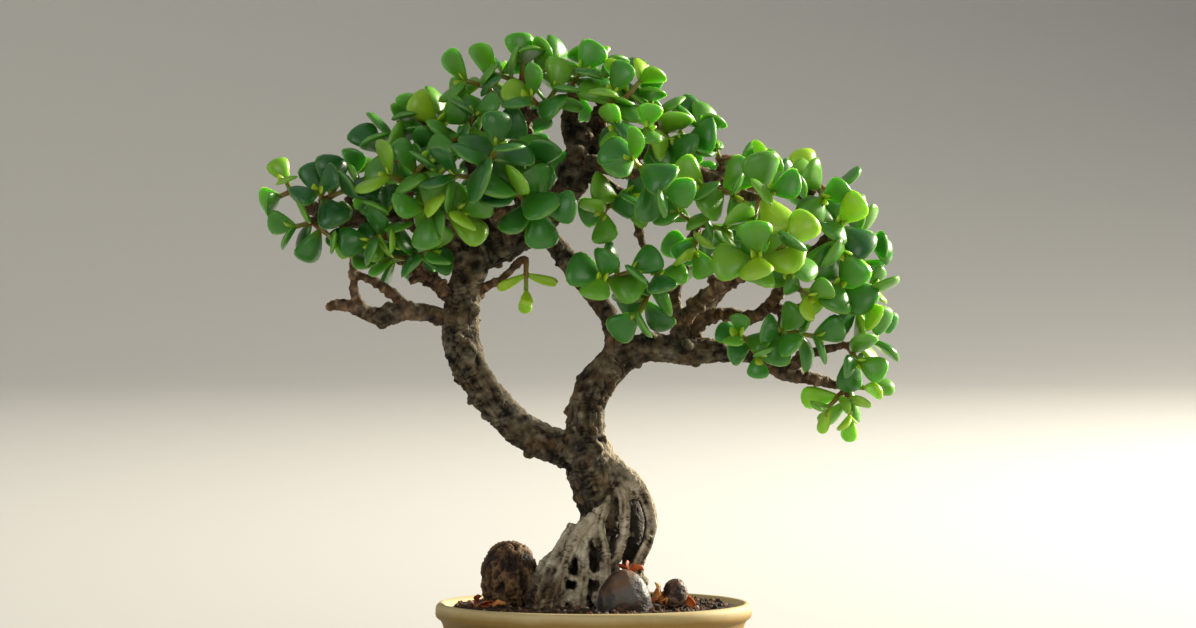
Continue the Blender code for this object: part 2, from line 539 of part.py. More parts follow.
def make_pot(parts, cutters):
    """The pot: a rolled rim, walls that taper to a flat floor with a drain hole, and four small feet."""
    half = POT_HALF_WIDTH
    profile = [(half - 3.2, RIM_HEIGHT - 0.9), (half - 2, RIM_HEIGHT), (half - 0.8, RIM_HEIGHT - 0.3),
               (half, RIM_HEIGHT - 1.8), (half - 0.2, RIM_HEIGHT - 4.6), (half - 1.8, RIM_HEIGHT - 5.8),
               (half - 3.2, RIM_HEIGHT - 10), (half - 7.5, 14), (half - 10.5, FOOT_HEIGHT + 1.2),
               (half - 12, FOOT_HEIGHT), (DRAIN_RADIUS, FOOT_HEIGHT), (DRAIN_RADIUS, FLOOR_TOP),
               (half - 14.5, FLOOR_TOP), (half - 11, 16), (half - 5.2, 34)]
    pot = turned("pot", profile, POT_STEPS, parts)
    apply_modifiers(pot)
    for x in (-1, 1):
        for y in (-1, 1):
            centre = (POT_X + FOOT_AWAY[0] * x, FOOT_AWAY[1] * y)
            foot = cylinder("foot", centre, FOOT_RADIUS, 0, FOOT_HEIGHT + 1.5, 12, cutters)
            cut(pot, foot, "UNION")
            bpy.data.objects.remove(foot)
    pot.data.materials.append(finish_material("tan_stoneware", (0.45, 0.27, 0.13), 0.6))
    return pot


def make_soil(parts, cutters):
    """The soil: it fills the pot a gap inside its walls, level on top, with a plain hole for the root stock."""
    half = POT_HALF_WIDTH
    profile = [(0, SOIL_TOP), (half - 12, SOIL_TOP), (half - 5.6, 36.2), (half - 5.6, 34), (half - 11.4, 16),
               (half - 14.9, FLOOR_TOP + CLEAR), (0, FLOOR_TOP + CLEAR)]
    soil = turned("soil", profile, SOIL_STEPS, parts)
    apply_modifiers(soil)
    hole = cylinder("stock_hole", (0, 0), PEG_RADIUS + CLEAR, SOIL_TOP - PEG_DEPTH - CLEAR, SOIL_TOP + 3, 16,
                    cutters)
    cut(soil, hole)
    bpy.data.objects.remove(hole)
    soil.data.materials.append(finish_material("potting_soil", (0.06, 0.045, 0.035), 0.95))
    return soil


def make_trunk(limbs, twigs, roots, parts, cutters):
    """All the wood as one body, cut level just above the soil, with its stock going down into it."""
    pieces = [tube(path, STOUT_SIDES if path[1, 3] > STOUT_RADIUS else SLIM_SIDES, lumps=BARK_LUMPS)
              for path in limbs]
    pieces += [tube(path, ROOT_SIDES, lumps=BARK_LUMPS) for path in roots]
    trunk = mesh_object("trunk", *pieces[0], parts)
    fuse(trunk, pieces[1:])
    thin_out(trunk, WOOD_RATIO)
    fuse(trunk, [tube(path, TWIG_SIDES) for path in twigs])
    below = box("ground_cut", (-60, -60, 0), (60, 60, SOIL_TOP + CLEAR), cutters)
    cut(trunk, below)
    peg = cylinder("peg", (0, 0), PEG_RADIUS, SOIL_TOP - PEG_DEPTH, SOIL_TOP + 6, 16, cutters)
    cut(trunk, peg, "UNION")
    for helper in (below, peg):
        bpy.data.objects.remove(helper)
    trunk.data.materials.append(finish_material("bark", (0.16, 0.12, 0.09), 0.85))
    return trunk


def make_stone(name, centre, radii, rough, sides, colour, parts, cutters):
    """A stone: a ball pulled to its radii and dented by crossed waves, level where it lies on the soil."""
    bm = bmesh.new()
    bmesh.ops.create_uvsphere(bm, u_segments=sides, v_segments=sides // 2 + 1, radius=1)
    for vert in bm.verts:
        x, y, z = vert.co
        dent = 1 + rough * (math.sin(4 * x + 3 * y) * math.cos(5 * z + 1) + 0.5 * math.sin(7 * y + 5 * z))
        vert.co = [(c + r * d * dent) * MM for c, r, d in zip(centre, radii, (x, y, z))]
    mesh = bpy.data.meshes.new(name)
    bm.to_mesh(mesh)
    bm.free()
    stone = bpy.data.objects.new(name, mesh)
    parts.objects.link(stone)
    below = box("ground_cut", (-60, -60, 0), (60, 60, SOIL_TOP + CLEAR), cutters)
    cut(stone, below)
    bpy.data.objects.remove(below)
    stone.data.materials.append(finish_material(name + "_rock", colour, 0.8))
    return stone


def make_spray(number, shoots, rolls, leaves, parts):
    """A leafy spray: its shoots and its blades in one body."""
    pieces = [tube(path, TWIG_SIDES, roll=roll) for path, roll in zip(shoots, rolls)]
    pieces += [(blade(leaf), LENS_FACES) for leaf in leaves]
    spray = mesh_object(f"spray_{number:02d}", *pieces[0], parts)
    fuse(spray, pieces[1:])
    thin_out(spray, SPRAY_RATIO)
    warm = 0.02 * (number % 5)
    green = (0.06 + warm, 0.2 + warm, 0.07)
    spray.data.materials.append(finish_material(f"jade_leaf_{number:02d}", green, 0.35))
    return spray


def main():
    for obj in list(bpy.data.objects):
        bpy.data.objects.remove(obj)
    parts = bpy.data.collections.new("jade_bonsai")
    cutters = bpy.data.collections.new("cutters")
    for collection in (parts, cutters):
        bpy.context.scene.collection.children.link(collection)
    limbs, twigs, roots, shoots, rolls, leaves = grow()
    make_pot(parts, cutters)
    make_soil(parts, cutters)
    make_trunk(limbs, twigs, roots, parts, cutters)
    for name, *shape in STONES:
        make_stone(name, *shape, parts, cutters)
    for number, spray in enumerate(zip(shoots, rolls, leaves), start=1):
        make_spray(number, *spray, parts)


main()
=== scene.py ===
"""A small jade bonsai in an oval tan pot: barked wood, plump leaves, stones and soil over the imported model.

Shapes are worked out in millimetres and become metres in the meshes.
"""

import math

import bmesh
import bpy
import numpy as np
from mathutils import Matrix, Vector
from mathutils.bvhtree import BVHTree


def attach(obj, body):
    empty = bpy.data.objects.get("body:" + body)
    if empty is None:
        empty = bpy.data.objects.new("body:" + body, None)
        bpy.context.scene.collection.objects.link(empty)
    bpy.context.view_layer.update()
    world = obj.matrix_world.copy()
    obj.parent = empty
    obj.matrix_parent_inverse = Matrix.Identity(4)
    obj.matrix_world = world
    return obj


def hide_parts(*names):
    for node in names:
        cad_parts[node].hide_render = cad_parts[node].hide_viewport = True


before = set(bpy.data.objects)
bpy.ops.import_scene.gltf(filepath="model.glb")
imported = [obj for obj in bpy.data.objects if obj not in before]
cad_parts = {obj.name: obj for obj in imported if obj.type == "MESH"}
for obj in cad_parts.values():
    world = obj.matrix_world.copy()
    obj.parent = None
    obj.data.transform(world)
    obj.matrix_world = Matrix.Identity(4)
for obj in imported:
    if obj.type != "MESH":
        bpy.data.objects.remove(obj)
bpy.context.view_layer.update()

MM = 0.001
SEED = 23
CLEAR = 0.3
POT_X = 4.0                 # the pot's middle, to the right of the canopy's middle
POT_HALF_WIDTH = 50.7
POT_DEPTH_RATIO = 0.8
RIM_HEIGHT = 38.0
FOOT_HEIGHT = 4.5
FLOOR_TOP = 9.0
DRAIN_RADIUS = 4.0
FOOT_RADIUS = 5.5
FOOT_AWAY = (25.0, 18.0)    # from the pot's middle, in x and in y
SOIL_TOP = 37.0
PEG_RADIUS = 8.0
PEG_DEPTH = 12.0
LEAF_LENGTH = 12.6
LEAF_WIDTH = 0.84           # over the leaf's length
LEAF_THICKNESS = 0.17       # over the leaf's length
LEAF_RIM_POINTS = 8
LEAF_CAMBER = 0.13
SKY_PULL = 0.45             # how far a leaf turns its upper face to the sky
STEM_RADIUS = 1.05
SEAT_RADIUS = 1.25
TWIG_RADIUS = 2.0
PAIR_SPACING = 5.0
TIP_INSET = 0.7             # from a shoot's tip back to its first pair of leaves
FORK_AT = 2.2               # from a shoot's start to where the others of its spray leave it
LEAF_MARGIN = 0.35
FRONT_DEPTH = 1.3
BACK_DEPTH = 1.03
LEAF_STATIONS = 10          # rings along a leaf, its two ends counted
LEAF_ROUND = 10             # points round each of them
TRUNK_GRID = 0.45           # spacing of the skin over the thick wood
BRANCH_GRID = 0.5
PATH_STEP = 1.2             # between samples along the wood
SCAR_SPACING = 3.1          # between pairs of leaf scars along a twig
PATH_SHIFT = 37.0           # added along from one path to the next, so that their bark differs
SEARCH_BLOCK = 6000         # points looked up at once
# Painted shade in the bark: its sums go in blocks, and only wood below a height gets it.
OCCLUSION_BLOCKS = 40
OCCLUSION_BELOW = 90.0        # height under which wood can shut in wood
POT_COLUMNS = 144
SOIL_COLUMNS = 160
FOOT_COLUMNS = 28
CRUMB_COUNT = 620
# The way the bark's painted light comes from: up and to the right, towards the key lamp.
LIT_SIDE = (0.76, 0.12, 0.64)
WEB_SLIMNESS = 0.9          # radius of the roots under the stock over that of their plain solids
FLOOR_RADIUS = 2.2          # metres, as is the curve of the wall round it
WALL_CURVE = 1.6
FLOOR_COLUMNS = 96
CAMERA_TARGET = (5.4, 0, 130.5)
CAMERA_AWAY = 1.5           # metres
CAMERA_RISE = 2.0           # degrees above level
FRAME_WIDTH = 0.3827        # metres across the view at the trunk

# Rows are x, y, z and radius, from the stock outwards.
LIMBS = {
    "stock": [(0, 2, 36, 9), (1, 2, 46, 7.4), (3.5, 1, 56, 6.9), (6.2, 0, 66, 7), (4.8, 0, 75, 8.4),
              (2.6, 0, 84, 8), (0, 0, 91, 6.6)],
    "left_limb": [(1, 0, 85, 6.4), (-8, -1, 88, 5.7), (-16, -2, 91.6, 5.9), (-22, -3, 96.2, 5.8),
                  (-28, -3, 102.5, 5.5), (-34, -3, 111, 5.7), (-38, -2, 119, 6), (-38.5, -1, 127, 6),
                  (-37.5, 0, 136, 5.6), (-36, 1, 143, 5.4), (-33, 1, 149, 5.2)],
    "crossing": [(-37, 1, 145, 5), (-28, 1, 151, 4.8), (-20, 1, 155, 5), (-13, 1, 160, 4.8),
                 (-7, 1, 166, 4.6), (-3, 0, 173, 5), (0, 0, 180, 5.4), (0, 0, 186, 4.6), (-2, 0, 191, 3.6)],
    "leader_left": [(-1, 0, 184, 3.8), (-3.5, -1, 191, 3.3), (-3, -1, 199, 2.4)],
    "leader_right": [(1, 0, 182, 4), (4.5, 0, 189, 3.2), (6, 1, 197, 2.2)],
    "right_limb": [(1, 0, 86, 6.8), (1.5, 0, 95, 6.2), (2.5, 0, 103, 5.8), (7, 1, 111, 6), (13, 2, 117, 5.4),
                   (20, 2, 119.5, 4.8), (28, 1, 119.5, 4.5), (35, 0, 119, 4.6), (44, -1, 118.5, 3.7),
                   (52, -1, 118.5, 3.2), (59, 0, 115, 2.9), (66, 0, 111.5, 2.6), (73, 0, 110, 2.1),
                   (79, 0, 108.5, 1.8)],
    "middle_branch": [(9, 1, 113, 3.6), (10.3, -1, 122, 3), (8.5, -2, 130, 3), (3.5, -2, 137, 3),
                      (-2, -1, 144, 3.2), (-7, 0, 151, 3.3), (-12, 1, 158, 3.4)],
    "rising_branch": [(32, 0, 119, 3.4), (31.5, -1, 127, 2.7), (29.5, -2, 135, 2.4), (31, -2, 143, 2.2),
                      (34, -2, 150, 2), (36, -2, 155, 1.8)],
    "knobbed_branch": [(34, 1, 121, 2.8), (39, 3, 128.5, 2.3), (47, 3, 130.5, 2.1), (54, 2, 129, 2.2),
                       (60, 0, 133, 2), (65, -1, 140, 2), (70, -1, 145.5, 1.9), (75, -1, 151, 1.7)],
    "outer_branch": [(60, 0, 133, 2), (67, 0, 131.5, 1.8), (74, 1, 134, 1.7), (80, 1, 138, 1.6)],
    "low_outer_branch": [(66, 0, 111.5, 2.4), (71, 1, 117, 1.8), (78, 1, 119, 1.6)],
    "top_right_branch": [(0, 0, 178, 3.8), (9, 0, 181, 3), (18, 0, 182.5, 2.6), (26, 0, 180.5, 2.4),
                         (34, 0, 177, 2.2), (42, 0, 174.5, 2.1), (50, 0, 174, 2.1), (58, 0, 172.5, 1.9),
                         (66, 0, 170, 1.7), (72, 0, 167.5, 1.5), (79, -1, 160, 1.4)],
    "hanging_twig": [(3, 0, 175, 2.4), (11, -4, 170, 2), (17.5, -6, 166, 1.7), (18.5, -6, 158, 1.4),
                     (20.5, -6, 149.5, 0.9)],
    "left_branch": [(-37, 1, 146, 4.4), (-42, 0, 154, 4.2), (-48, 0, 159, 3.9), (-56, 0, 162.5, 3.5),
                    (-64, 0, 163, 3.1), (-72, 0, 161, 2.8), (-79, 0, 161.5, 2.6), (-85, 0, 164, 2.4),
                    (-89, 0, 167, 2)],
    "upper_left_branch": [(-44, 0, 157, 3.2), (-47, 1, 165, 2.7), (-51, 1, 173, 2.5), (-57, 0, 179, 2)],
    "upper_left_fork": [(-50, 1, 171, 2.4), (-47, 2, 179, 2.1), (-46.5, 1, 187, 1.7)],
    "top_left_branch": [(-27, 1, 153, 3.8), (-31, 0, 162, 3.1), (-33, -1, 171, 2.8), (-34, -1, 180, 2.5),
                        (-32, 0, 189, 2.1), (-30, 0, 196, 1.7)],
    "inner_left_branch": [(-10, 1, 164, 3.4), (-14, 1, 173, 2.7), (-17, 1, 182, 2.4), (-18, 1, 191, 2.1),
                          (-17.5, 1, 198, 1.7)],
    "low_left_branch": [(-40, -1, 128, 3.2), (-48, -1, 130.5, 2.7), (-56, -1, 131.5, 2.7), (-62, -1, 130, 3.2),
                        (-68, -1, 130.5, 2.4), (-74, -1, 133, 2), (-80, -1, 133.5, 1.5)],
    "low_left_fork": [(-54, -1, 131.5, 2), (-60, -1, 137, 1.7), (-66, -1, 141, 1.5), (-71.5, 0, 143, 1.3)],
    "low_left_side": [(-69, -1, 131, 1.9), (-72.5, -1, 137, 1.4), (-72.5, -1, 143, 1.2)],
    "low_left_gnarl": [(-40, -1, 133, 2.4), (-44.5, -2, 139, 1.9), (-49, -2, 143, 1.8), (-55, -2, 141, 1.2)],
    "limb_stub": [(-35, 0, 136, 2), (-30, -1, 139.5, 1.5), (-25.5, -2, 141.5, 1)],
    "back_left": [(-36, 1, 143, 3.6), (-41, 13, 151, 2.8), (-49, 26, 156, 2.2), (-55, 33, 158, 1.8)],
    "back_top_left": [(-14, 1, 160, 3.4), (-19, 13, 168, 2.6), (-22, 24, 174, 2.2), (-20, 35, 176, 1.8)],
    "back_top": [(0, 0, 177, 3.6), (7, 12, 179, 2.6), (14, 24, 179, 2.1), (23, 32, 175, 1.8)],
    "back_right": [(33, 0, 120, 3.4), (38, 12, 129, 2.6), (46, 24, 138, 2.2), (55, 31, 144, 1.8)],
    "back_top_right": [(40, 0, 175, 2.2), (45, 12, 172, 2), (52, 21, 168, 1.8)],
    "back_low_left": [(-37, 0, 132, 3), (-46, 10, 139, 2.2), (-55, 17, 144, 1.8)],
    "front_left": [(-21, 0, 155, 3.2), (-25, -10, 161, 2.5), (-30, -19, 167, 2)],
    "front_top": [(1, 0, 179, 3.4), (6, -11, 178, 2.5), (14, -21, 176, 2)],
    "front_right": [(32, -1, 128, 2.6), (40, -10, 137, 2.2), (50, -18, 143, 1.9)],
    "front_top_right": [(36, 0, 176, 2.2), (43, -9, 173, 1.9), (51, -16, 169, 1.7)],
}

ROOTS = {
    "arching_root": [(6, -1, 84, 4.6), (12, -2, 80, 3.6), (17.3, -3, 76, 2.8), (21, -3, 70, 2.4),
                     (22.4, -3, 64, 2.2), (21.4, -3, 58, 2.1), (18.6, -2, 52, 2.2), (16.5, 0, 44, 2.4),
                     (17, 3, 36, 2.6)],
    "inner_root": [(7, -3, 81, 3.6), (13, -5, 74, 2.3), (13.8, -6, 66, 2.1), (12.8, -6.5, 58, 2.1),
                   (10.2, -7.5, 50, 2), (9.6, -8, 36, 2.3)],
    "behind_root": [(8, 3, 79, 4), (14, 4, 71, 3.7), (17, 4.5, 62, 3.7), (16.5, 5, 52, 3.6), (18, 8, 36, 3.6)],
    "front_ridge": [(9.5, -4, 78, 2.4), (7.5, -6.4, 70, 2), (5.8, -7.2, 63, 2.1), (7, -8.2, 55, 2.4),
                    (7.3, -9.6, 46, 2.3), (6.4, -11, 36, 2.5)],
    "slant_ridge": [(8.5, -4.5, 74, 2.2), (4, -6.6, 66, 2), (-0.5, -7, 60, 2.3), (-4, -8.2, 53, 2.2),
                    (-6.4, -10, 45, 2.1), (-7, -12, 36, 2.3)],
    "front_root": [(1, -3.5, 64, 2.6), (0.8, -7.6, 56, 2.1), (0.5, -9.8, 47, 2.2), (-1, -12, 36, 2.6)],
    "front_left_root": [(-1, -3, 62, 2.8), (-4.5, -7, 54, 2.4), (-8, -10, 46, 2.5), (-11.5, -13, 36, 2.9)],
    "left_root": [(-1, -1, 62, 3.8), (-7, -4, 54, 2.9), (-11, -8, 46, 2.6), (-13.5, -12, 36, 2.8)],
    "low_left_root": [(-5, 0, 55, 2.8), (-11, -2, 50.5, 2.4), (-14.5, -6, 44, 2.2), (-16, -10, 36, 2.4)],
    "back_left_root": [(-1, 3, 60, 3), (-6, 7, 50, 2.5), (-10, 12, 42, 2.5), (-14, 17, 36, 2.6)],
    "back_root": [(1, 4, 62, 3), (0, 9, 50, 2.6), (-1, 14, 42, 2.6), (-2, 20, 36, 2.7)],
    "back_right_root": [(3, 4, 60, 3), (8, 9, 50, 2.5), (12, 14, 42, 2.5), (16, 19, 36, 2.6)],
    "web_left": [(-11, -11, 40, 1.6), (-8.5, -11, 43, 1.5), (-5.5, -11, 41, 1.5)],
    "web_middle": [(-5.5, -9.4, 49, 1.5), (-2.5, -9.6, 46.5, 1.4), (1, -9.6, 48.5, 1.4)],
    "web_low": [(-6.5, -11.8, 40.5, 1.5), (-3.5, -11.6, 42.5, 1.4), (-0.5, -11.4, 40.5, 1.5)],
    "web_right": [(0.6, -9.2, 50, 1.4), (4, -9.8, 47, 1.4), (7, -9.3, 48.5, 1.4)],
}

ARCHING = ("arching_root", "inner_root", "behind_root")
THICK_WOOD = ("stock", "left_limb", "crossing", "leader_left", "leader_right", "right_limb", "middle_branch")

# A spray is its seat, then the tips of its shoots, then its leaf length over the usual one.
SPRAYS = [
    ((-91, 0, 168), [(-94, -3, 173), (-96.5, -1, 168)], 0.85),
    ((-82, -5, 166), [(-83, -12, 170), (-75, -11, 170)], 1.0),
    ((-74, 2, 165), [(-72, 4, 176), (-66, 0, 172)], 1.0),
    ((-84, -3, 161), [(-91, -6, 158.5), (-79, -8, 155)], 0.9),
    ((-60, 0, 178), [(-65, -2, 183), (-57, 2, 190), (-53, -5, 181)], 1.05),
    ((-47, 1, 188), [(-52, -3, 193), (-41, 2, 197), (-44, -9, 192)], 1.0),
    ((-54, -15, 171), [(-60, -20, 175), (-49, -22, 179)], 1.05),
    ((-44, -18, 163), [(-49, -27, 165), (-38, -26, 164), (-45, -22, 175)], 1.05),
    ((-35, -6, 187), [(-43, -11, 185), (-34, -13, 194), (-28, -12, 188)], 1.0),
    ((-29, 0, 201), [(-37, -3, 205), (-25, 4, 208)], 1.0),
    ((-31, -24, 172), [(-26, -32, 184), (-39, -30, 175)], 1.2),
    ((-17, -18, 165), [(-21, -27, 170), (-12, -27, 165), (-15, -21, 178)], 1.1),
    ((-18, 1, 202), [(-27, -3, 207), (-19, -1, 211), (-9, 3, 210)], 1.0),
    ((-13, -8, 195), [(-16, -15, 200), (-8, -13, 202)], 0.95),
    ((-3, -2, 202), [(0, -7, 208)], 1.0),
    ((7, 2, 200), [(4, 5, 210), (13, 3, 209)], 1.0),
    ((9, -7, 194), [(10, -14, 201), (19, -8, 205)], 0.95),
    ((24, 1, 188), [(22, -3, 199), (30, 0, 192), (28, -8, 186)], 1.05),
    ((17, -12, 186), [(21, -19, 190), (12, -18, 190)], 0.9),
    ((33, -2, 183), [(38, -3, 190), (31, -9, 186)], 1.0),
    ((19, -27, 176), [(16, -35, 180), (25, -34, 172)], 1.05),
    ((45, 1, 178), [(43, -2, 183), (52, 2, 180)], 0.95),
    ((61, -4, 174), [(57, -9, 177), (66, -7, 175)], 0.95),
    ((74, 1, 170), [(74, 0, 175), (84, 2, 166), (77, -8, 168)], 1.0),
    ((44, -14, 171), [(48, -21, 169), (38, -20, 172)], 1.0),
    ((55, -21, 168), [(59, -29, 170), (54, -29, 162)], 1.05),
    ((37, -6, 158), [(31, -12, 163), (45, -12, 158), (36, -13, 151)], 0.9),
    ((55, -24, 146), [(64, -31, 154), (55, -33, 150)], 1.15),
    ((79, -4, 156), [(82, -12, 160), (83, -12, 151)], 1.1),
    ((82, 3, 155), [(93, 2, 153), (90, 6, 147)], 0.95),
    ((82, -3, 141), [(82, -11, 141), (91, -8, 133)], 1.15),
    ((85, 6, 138), [(93, 5, 139), (96, 4, 130)], 0.72),
    ((82, 0, 120), [(93, -2, 122), (88, -8, 116)], 1.05),
    ((67, -9, 140), [(72, -16, 137), (66, -17, 143)], 0.85),
    ((64, -8, 127), [(63, -16, 125), (74, -13, 124)], 1.0),
    ((82, 0, 107.5), [(91, -2, 107), (86, -3, 98), (79, -4, 101)], 0.95),
    ((52, -8, 122), [(56, -15, 118), (50, -16, 125)], 0.75),
    ((8, -12, 141), [(7, -20, 143), (16, -19, 145)], 1.0),
    ((25, -8, 141), [(24, -17, 144), (18, -15, 131)], 1.1),
    ((-19, -2, 148), [(-17.5, -5, 138)], 0.8),
    ((11, -10, 167), [(7, -17, 163), (15, -17, 169)], 0.9),
    ((-73, 0, 147), [(-73, -5, 152)], 0.9),
    ((-52, -5, 147), [(-60, -9, 149), (-48, -11, 151)], 1.0),
    ((-63, -6, 157), [(-67, -11, 154), (-59, -12, 154), (-62, -12, 163)], 0.9),
    ((-46, 20, 161), [(-46, 22, 170), (-38, 28, 164)], 1.0),
    ((-57, 36, 160), [(-65, 41, 164), (-54, 45, 163)], 1.0),
    ((-24, 27, 180), [(-31, 32, 186), (-19, 30, 189)], 1.05),
    ((-19, 38, 177), [(-25, 45, 180), (-12, 45, 178)], 1.0),
    ((9, 22, 186), [(5, 30, 193), (16, 26, 193)], 1.05),
    ((26, 34, 175), [(24, 42, 181), (35, 41, 177)], 1.0),
    ((53, 24, 169), [(52, 32, 175), (63, 28, 171)], 1.05),
    ((58, 33, 146), [(57, 43, 150), (68, 37, 149)], 1.0),
    ((42, 22, 142), [(36, 29, 148), (46, 32, 149)], 1.0),
    ((-57, 19, 146), [(-66, 22, 148), (-57, 29, 150)], 0.95),
]


def deepened(row):
    """A row with its y stretched forwards or backwards by the canopy's depth."""
    x, y, *rest = row
    return (x, y * (FRONT_DEPTH if y < 0 else BACK_DEPTH), *rest)


def unit(vector):
    """The vector over its length; rows of an array each over their own."""
    vector = np.asarray(vector, float)
    return vector / np.linalg.norm(vector, axis=-1, keepdims=True)


def distances(path):
    """The distance along a path at each of its points."""
    return np.concatenate([[0], np.cumsum(np.linalg.norm(np.diff(path[:, :3], axis=0), axis=1))])


def smooth_path(rows, step):
    """Points about a step apart on the Catmull-Rom curve through the rows, radius included."""
    p = np.array(rows, float)
    p = np.vstack([2 * p[0] - p[1], p, 2 * p[-1] - p[-2]])
    t = np.linspace(0, 1, 12, endpoint=False)[:, None]
    spans = [0.5 * (2 * b + (c - a) * t + (2 * a - 5 * b + 4 * c - d) * t**2 + (3 * b - a - 3 * c + d) * t**3)
             for a, b, c, d in zip(p, p[1:], p[2:], p[3:])]
    dense = np.vstack(spans + [p[-2:-1]])
    along = distances(dense)
    at = np.linspace(0, along[-1], max(2, round(along[-1] / step) + 1))
    return np.column_stack([np.interp(at, along, dense[:, k]) for k in range(p.shape[1])])


def path_frames(path):
    """Tangents, sides and ups along a path, each side turned as little as possible from the one before."""
    tangents = unit(np.gradient(path[:, :3], axis=0))
    side = np.cross(tangents[0], (0.31, 0.87, 0.38))
    sides = []
    for tangent in tangents:
        side = unit(side - tangent * side.dot(tangent))
        sides.append(side)
    sides = np.array(sides)
    return tangents, sides, np.cross(tangents, sides)


def tube(path, sides, extra=0.0, roll=0.0):
    """A closed tube: at each point of the path a ring, centre + radius * (cos a * side + sin a * up)."""
    _, side, up = path_frames(path)
    angle = roll + np.arange(sides) * 2 * math.pi / sides
    radius = (path[:, 3:4] + extra)[:, :, None]
    ring = np.cos(angle)[None, :, None] * side[:, None] + np.sin(angle)[None, :, None] * up[:, None]
    points = (path[:, None, :3] + radius * ring).reshape(-1, 3)
    last = (len(path) - 1) * sides
    faces = ring_faces(len(path), sides).tolist()
    faces.append(list(range(sides))[::-1])
    faces.append(list(range(last, last + sides)))
    return points, faces


def ring_faces(rows, columns):
    """Quads between neighbouring rings of points, each ring closing on itself."""
    row, column = np.meshgrid(np.arange(rows - 1) * columns, np.arange(columns), indexing="ij")
    after = (column + 1) % columns
    quads = np.stack([row + column, row + after, row + columns + after, row + columns + column], axis=-1)
    return quads.reshape(-1, 4)


def circle(count, depth=1.0):
    """Points round a circle of radius 1, its y times a depth."""
    angle = np.arange(count) * 2 * math.pi / count
    return np.stack([np.cos(angle), depth * np.sin(angle), 0 * angle], axis=-1)


def turned(profile, columns, middle=0.0, depth=1.0):
    """Points of a (radius, height) profile carried round an oval whose middle is at x = middle, in rows."""
    radius, height = np.array(profile, float).T
    return (np.array((middle, 0, 0)) + radius[:, None, None] * circle(columns, depth)
            + height[:, None, None] * np.array((0, 0, 1)))


def squared(rows):
    """Three rough directions made square to each other, each of length 1."""
    axes = unit(rows)
    axes[1] = unit(axes[1] - axes[0] * axes[0].dot(axes[1]))
    axes[2] = np.cross(axes[0], axes[1])
    return axes


def capped(rings, start, end):
    """Points and faces of a closed skin: rings of points in rows, with a single point at each end."""
    rows, columns, _ = rings.shape
    points = np.vstack([rings.reshape(-1, 3), start, end])
    faces = ring_faces(rows, columns).tolist()
    at = np.arange(columns)
    after = (at + 1) % columns
    last = (rows - 1) * columns
    faces += np.stack([after, at, np.full(columns, rows * columns)], axis=-1).tolist()
    faces += np.stack([last + at, last + after, np.full(columns, rows * columns + 1)], axis=-1).tolist()
    return points, faces


def unit_lens():
    """Points and triangles of a unit lens: a ring of rim points with one pole above and one below."""
    bm = bmesh.new()
    bmesh.ops.create_uvsphere(bm, u_segments=LEAF_RIM_POINTS, v_segments=2, radius=1)
    bmesh.ops.triangulate(bm, faces=bm.faces)
    points = np.array([v.co[:] for v in bm.verts])
    faces = [[v.index for v in f.verts] for f in bm.faces]
    bm.free()
    return points, faces


LENS_POINTS, LENS_FACES = unit_lens()


def blade(leaf, margin=0.0, shrink=1.0):
    """A leaf's plain outline solid, used to keep leaves clear of each other, with a margin all round."""
    base, out, face, length = leaf
    across = np.cross(face, out)
    x, y, z = LENS_POINTS.T
    along = 0.5 * (1 + x) + 0.06 * (1 - x * x)
    half_width = 0.5 * LEAF_WIDTH * length * (1 + 0.52 * x) / 1.06
    half_depth = 0.5 * LEAF_THICKNESS * length
    along = (1 - shrink) + shrink * along
    bend = -LEAF_CAMBER * length * along**2 + LEAF_CAMBER * 0.5 * length * along
    points = (base + out * (along * length + margin * x)[:, None]
              + across * (y * (half_width * shrink + margin))[:, None]
              + face * (z * (half_depth * shrink + margin) + bend)[:, None])
    return points


class Solid:
    """Points and faces with a search tree and a bounding ball, to test for a crossing."""

    def __init__(self, points, faces):
        """The middle, the farthest point's distance from it, and a tree of the faces."""
        self.centre = points.mean(axis=0)
        self.reach = np.linalg.norm(points - self.centre, axis=1).max()
        self.tree = BVHTree.FromPolygons([tuple(p) for p in points], faces)

    def meets(self, other):
        """True where the faces of both cross; far ones are told by their bounding balls."""
        if np.linalg.norm(self.centre - other.centre) > self.reach + other.reach:
            return False
        return bool(self.tree.overlap(other.tree))


def twig_rows(seat, limb_points):
    """A twig from the best limb point to a seat: near, and better below the seat than above it."""
    seat = np.array(seat, float)
    apart = np.linalg.norm(limb_points[:, :3] - seat, axis=1)
    above = np.maximum(0, limb_points[:, 2] - seat[2] + 2)
    start = limb_points[np.argmin(apart + 0.5 * above)]
    span = seat - start[:3]
    middle = start[:3] + 0.5 * span + np.array((0, 0, -0.08)) * np.linalg.norm(span)
    wide = min(TWIG_RADIUS, start[3])
    return [(*start[:3], wide), (*middle, 0.5 * (wide + SEAT_RADIUS)), (*seat, SEAT_RADIUS)]


def shoot_path(start, leave, tip):
    """A shoot that leaves along a direction and curves to its tip, a quadratic curve."""
    start, tip = np.array(start, float), np.array(tip, float)
    length = np.linalg.norm(tip - start)
    knee = start + unit(leave) * 0.45 * length
    t = np.array((0, 0.22, 1))[:, None]
    points = (1 - t)**2 * start + 2 * t * (1 - t) * knee + t**2 * tip
    radius = STEM_RADIUS * (1 - 0.35 * t)
    return np.hstack([points, radius])


def path_at(path, distance):
    """The point and the direction at a distance along a path."""
    along = distances(path)
    point = np.array([np.interp(distance, along, path[:, k]) for k in range(3)])
    span = min(np.searchsorted(along, min(distance, along[-1] - 0.01), side="right"), len(along) - 1) - 1
    return point, unit(path[span + 1, :3] - path[span, :3])


